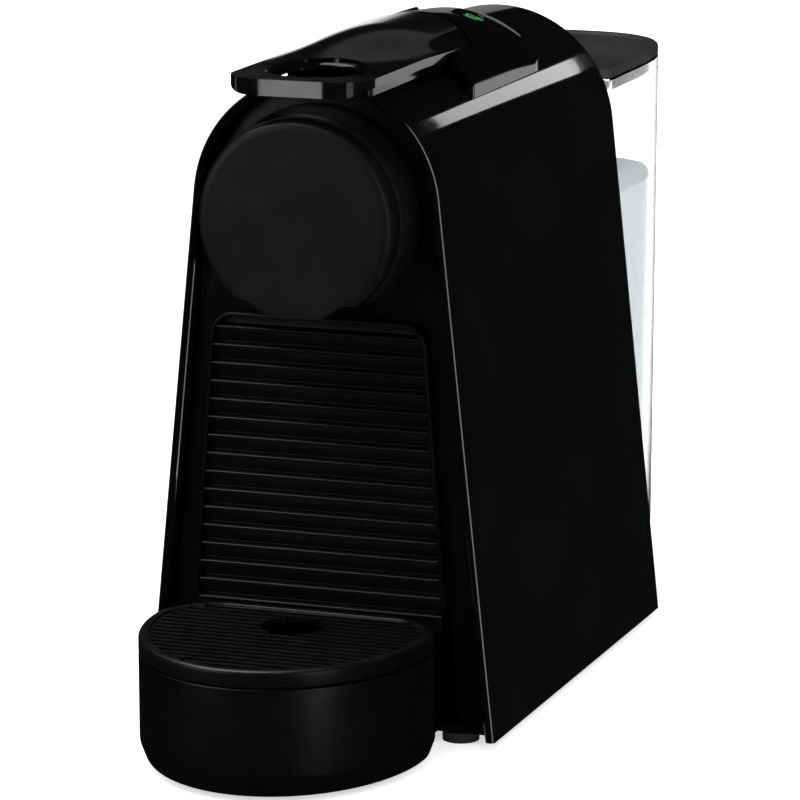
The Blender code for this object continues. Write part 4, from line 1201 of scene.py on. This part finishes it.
def panel_light(name, place, size, radiance, receivers=(), aim=(0, 0, 120), roll=0.0):
    """A soft panel that shines at aim, from place: azimuth from +Y towards +X, elevation, distance in metres.

    receivers limits the pieces it lights, and roll turns the panel about its own axis.
    """
    azimuth, elevation, distance = place
    width, height = size
    data = bpy.data.lights.new(name, "AREA")
    data.shape = "RECTANGLE"
    data.size = width
    data.size_y = height
    data.energy = radiance * math.pi * width * height
    obj = bpy.data.objects.new(name, data)
    bpy.context.scene.collection.objects.link(obj)
    turn = math.radians(azimuth)
    rise = math.radians(elevation)
    heading = Vector((math.sin(turn) * math.cos(rise), math.cos(turn) * math.cos(rise), math.sin(rise)))
    obj.location = Vector(aim) * MM + heading * distance
    turned_panel = heading.to_track_quat("Z", "Y").to_matrix() @ Matrix.Rotation(math.radians(roll), 3, "Z")
    obj.rotation_euler = turned_panel.to_euler()
    obj.visible_camera = False
    obj.visible_transmission = False
    if receivers:
        lit = bpy.data.collections.new(name + "_receivers")
        for piece in receivers:
            lit.objects.link(bpy.data.objects[piece])
        obj.light_linking.receiver_collection = lit


def make_lights():
    """The studio's panels. Most of them light only the pieces whose reflections they make."""
    casing = ["shell_arch", "cover_spine"]
    front = ["bin_louvres", "gate_bead", "tray_body", "grid_slats"]
    head = ["head_disc", "head_drum_ring", "outlet_spout", "front_frame_plate"]
    crown = (0, 0, 195)
    panel_light("shoulder_strip", (14.0, 15.4, 3.0), (0.66, 0.26), 2.6, ["shell_arch"], (30, 0, 180), -45.0)
    panel_light("horizon_card", (-24.0, -3.0, 2.4), (1.3, 0.42), 1.1, ["lever_top"], crown)
    panel_light("haze_card", (-24.0, 3.5, 2.4), (1.3, 0.2), 0.7, ["lever_top"], crown)
    panel_light("casing_card", (-24.0, 0.0, 2.4), (1.3, 0.6), 0.22, casing, crown)
    panel_light("sky_card", (-22.0, 24.0, 2.4), (1.4, 0.3), 0.1, ["lever_top"], crown)
    panel_light("wall_card", (18.8, -8.5, 0.9), (0.4, 0.09), 1.05, ["cover_spine"], (30, 0, 185))
    panel_light("side_card", (19.9, -8.3, 0.9), (0.4, 0.09), 1.0, ["lever_top"], (22, -60, 198))
    panel_light("lip_spot", (201.3, -8.6, 0.4), (0.05, 0.06), 4.0, ["lever_top"], (3, -109, 196.6))
    panel_light("lip_corner_spot", (280.0, -12.0, 0.8), (0.06, 0.1), 1.6, ["lever_top"], (-19, -103, 196.6))
    panel_light("right_strip", (112.0, 8.0, 1.3), (0.8, 2.0), 3.6, ["shell_arch"])
    panel_light("left_strip", (-65.0, 4.0, 1.3), (1.5, 1.8), 1.5, ["shell_arch"])
    panel_light("low_strip", (108.0, -46.0, 1.3), (0.9, 1.1), 4.0, ["shell_arch"])
    panel_light("top_box", (-113.0, 66.0, 1.5), (1.1, 1.1), 3.0)
    panel_light("rib_box", (-113.0, 66.0, 1.5), (0.8, 0.8), 13.0, ["bin_louvres", "grid_slats"])
    panel_light("left_box", (-140.0, 16.0, 1.4), (0.8, 0.8), 0.9, [*front, *head])
    panel_light("right_box", (128.0, 6.0, 1.3), (0.4, 0.9), 1.0)


def make_camera():
    """A long lens, in front of the machine, to its right and a little above it."""
    data = bpy.data.cameras.new("camera")
    data.lens = CAMERA_LENS
    data.sensor_width = 36.0
    data.clip_start = 0.05
    data.clip_end = 60.0
    camera = bpy.data.objects.new("camera", data)
    bpy.context.scene.collection.objects.link(camera)
    pan = Matrix.Rotation(math.radians(CAMERA_PAN), 4, "Z")
    tilt = Matrix.Rotation(math.radians(90 - CAMERA_TILT), 4, "X")
    roll = Matrix.Rotation(math.radians(CAMERA_ROLL), 4, "Z")
    camera.matrix_world = Matrix.Translation(Vector(CAMERA_PLACE) * MM) @ pan @ tilt @ roll
    bpy.context.scene.camera = camera


# ---------------------------------------------------------------- the scene


def build():
    """Makes every piece, then the studio round them."""
    make_shell()
    make_cover()
    make_front_frame()
    make_gate_bead()
    make_head()
    make_outlet()
    make_lever()
    make_button("button_left_cap", -1, 3.4, "pale_print")
    make_button("button_right_cap", 1, 4.6, "lit_print")
    make_bin_front()
    make_tray()
    make_grid()
    make_tank()
    make_water()
    make_lid()
    dress_cad_nodes()
    make_floor()
    make_world()
    make_lights()
    make_camera()
    bpy.context.scene.view_settings.view_transform = "Standard"


build()
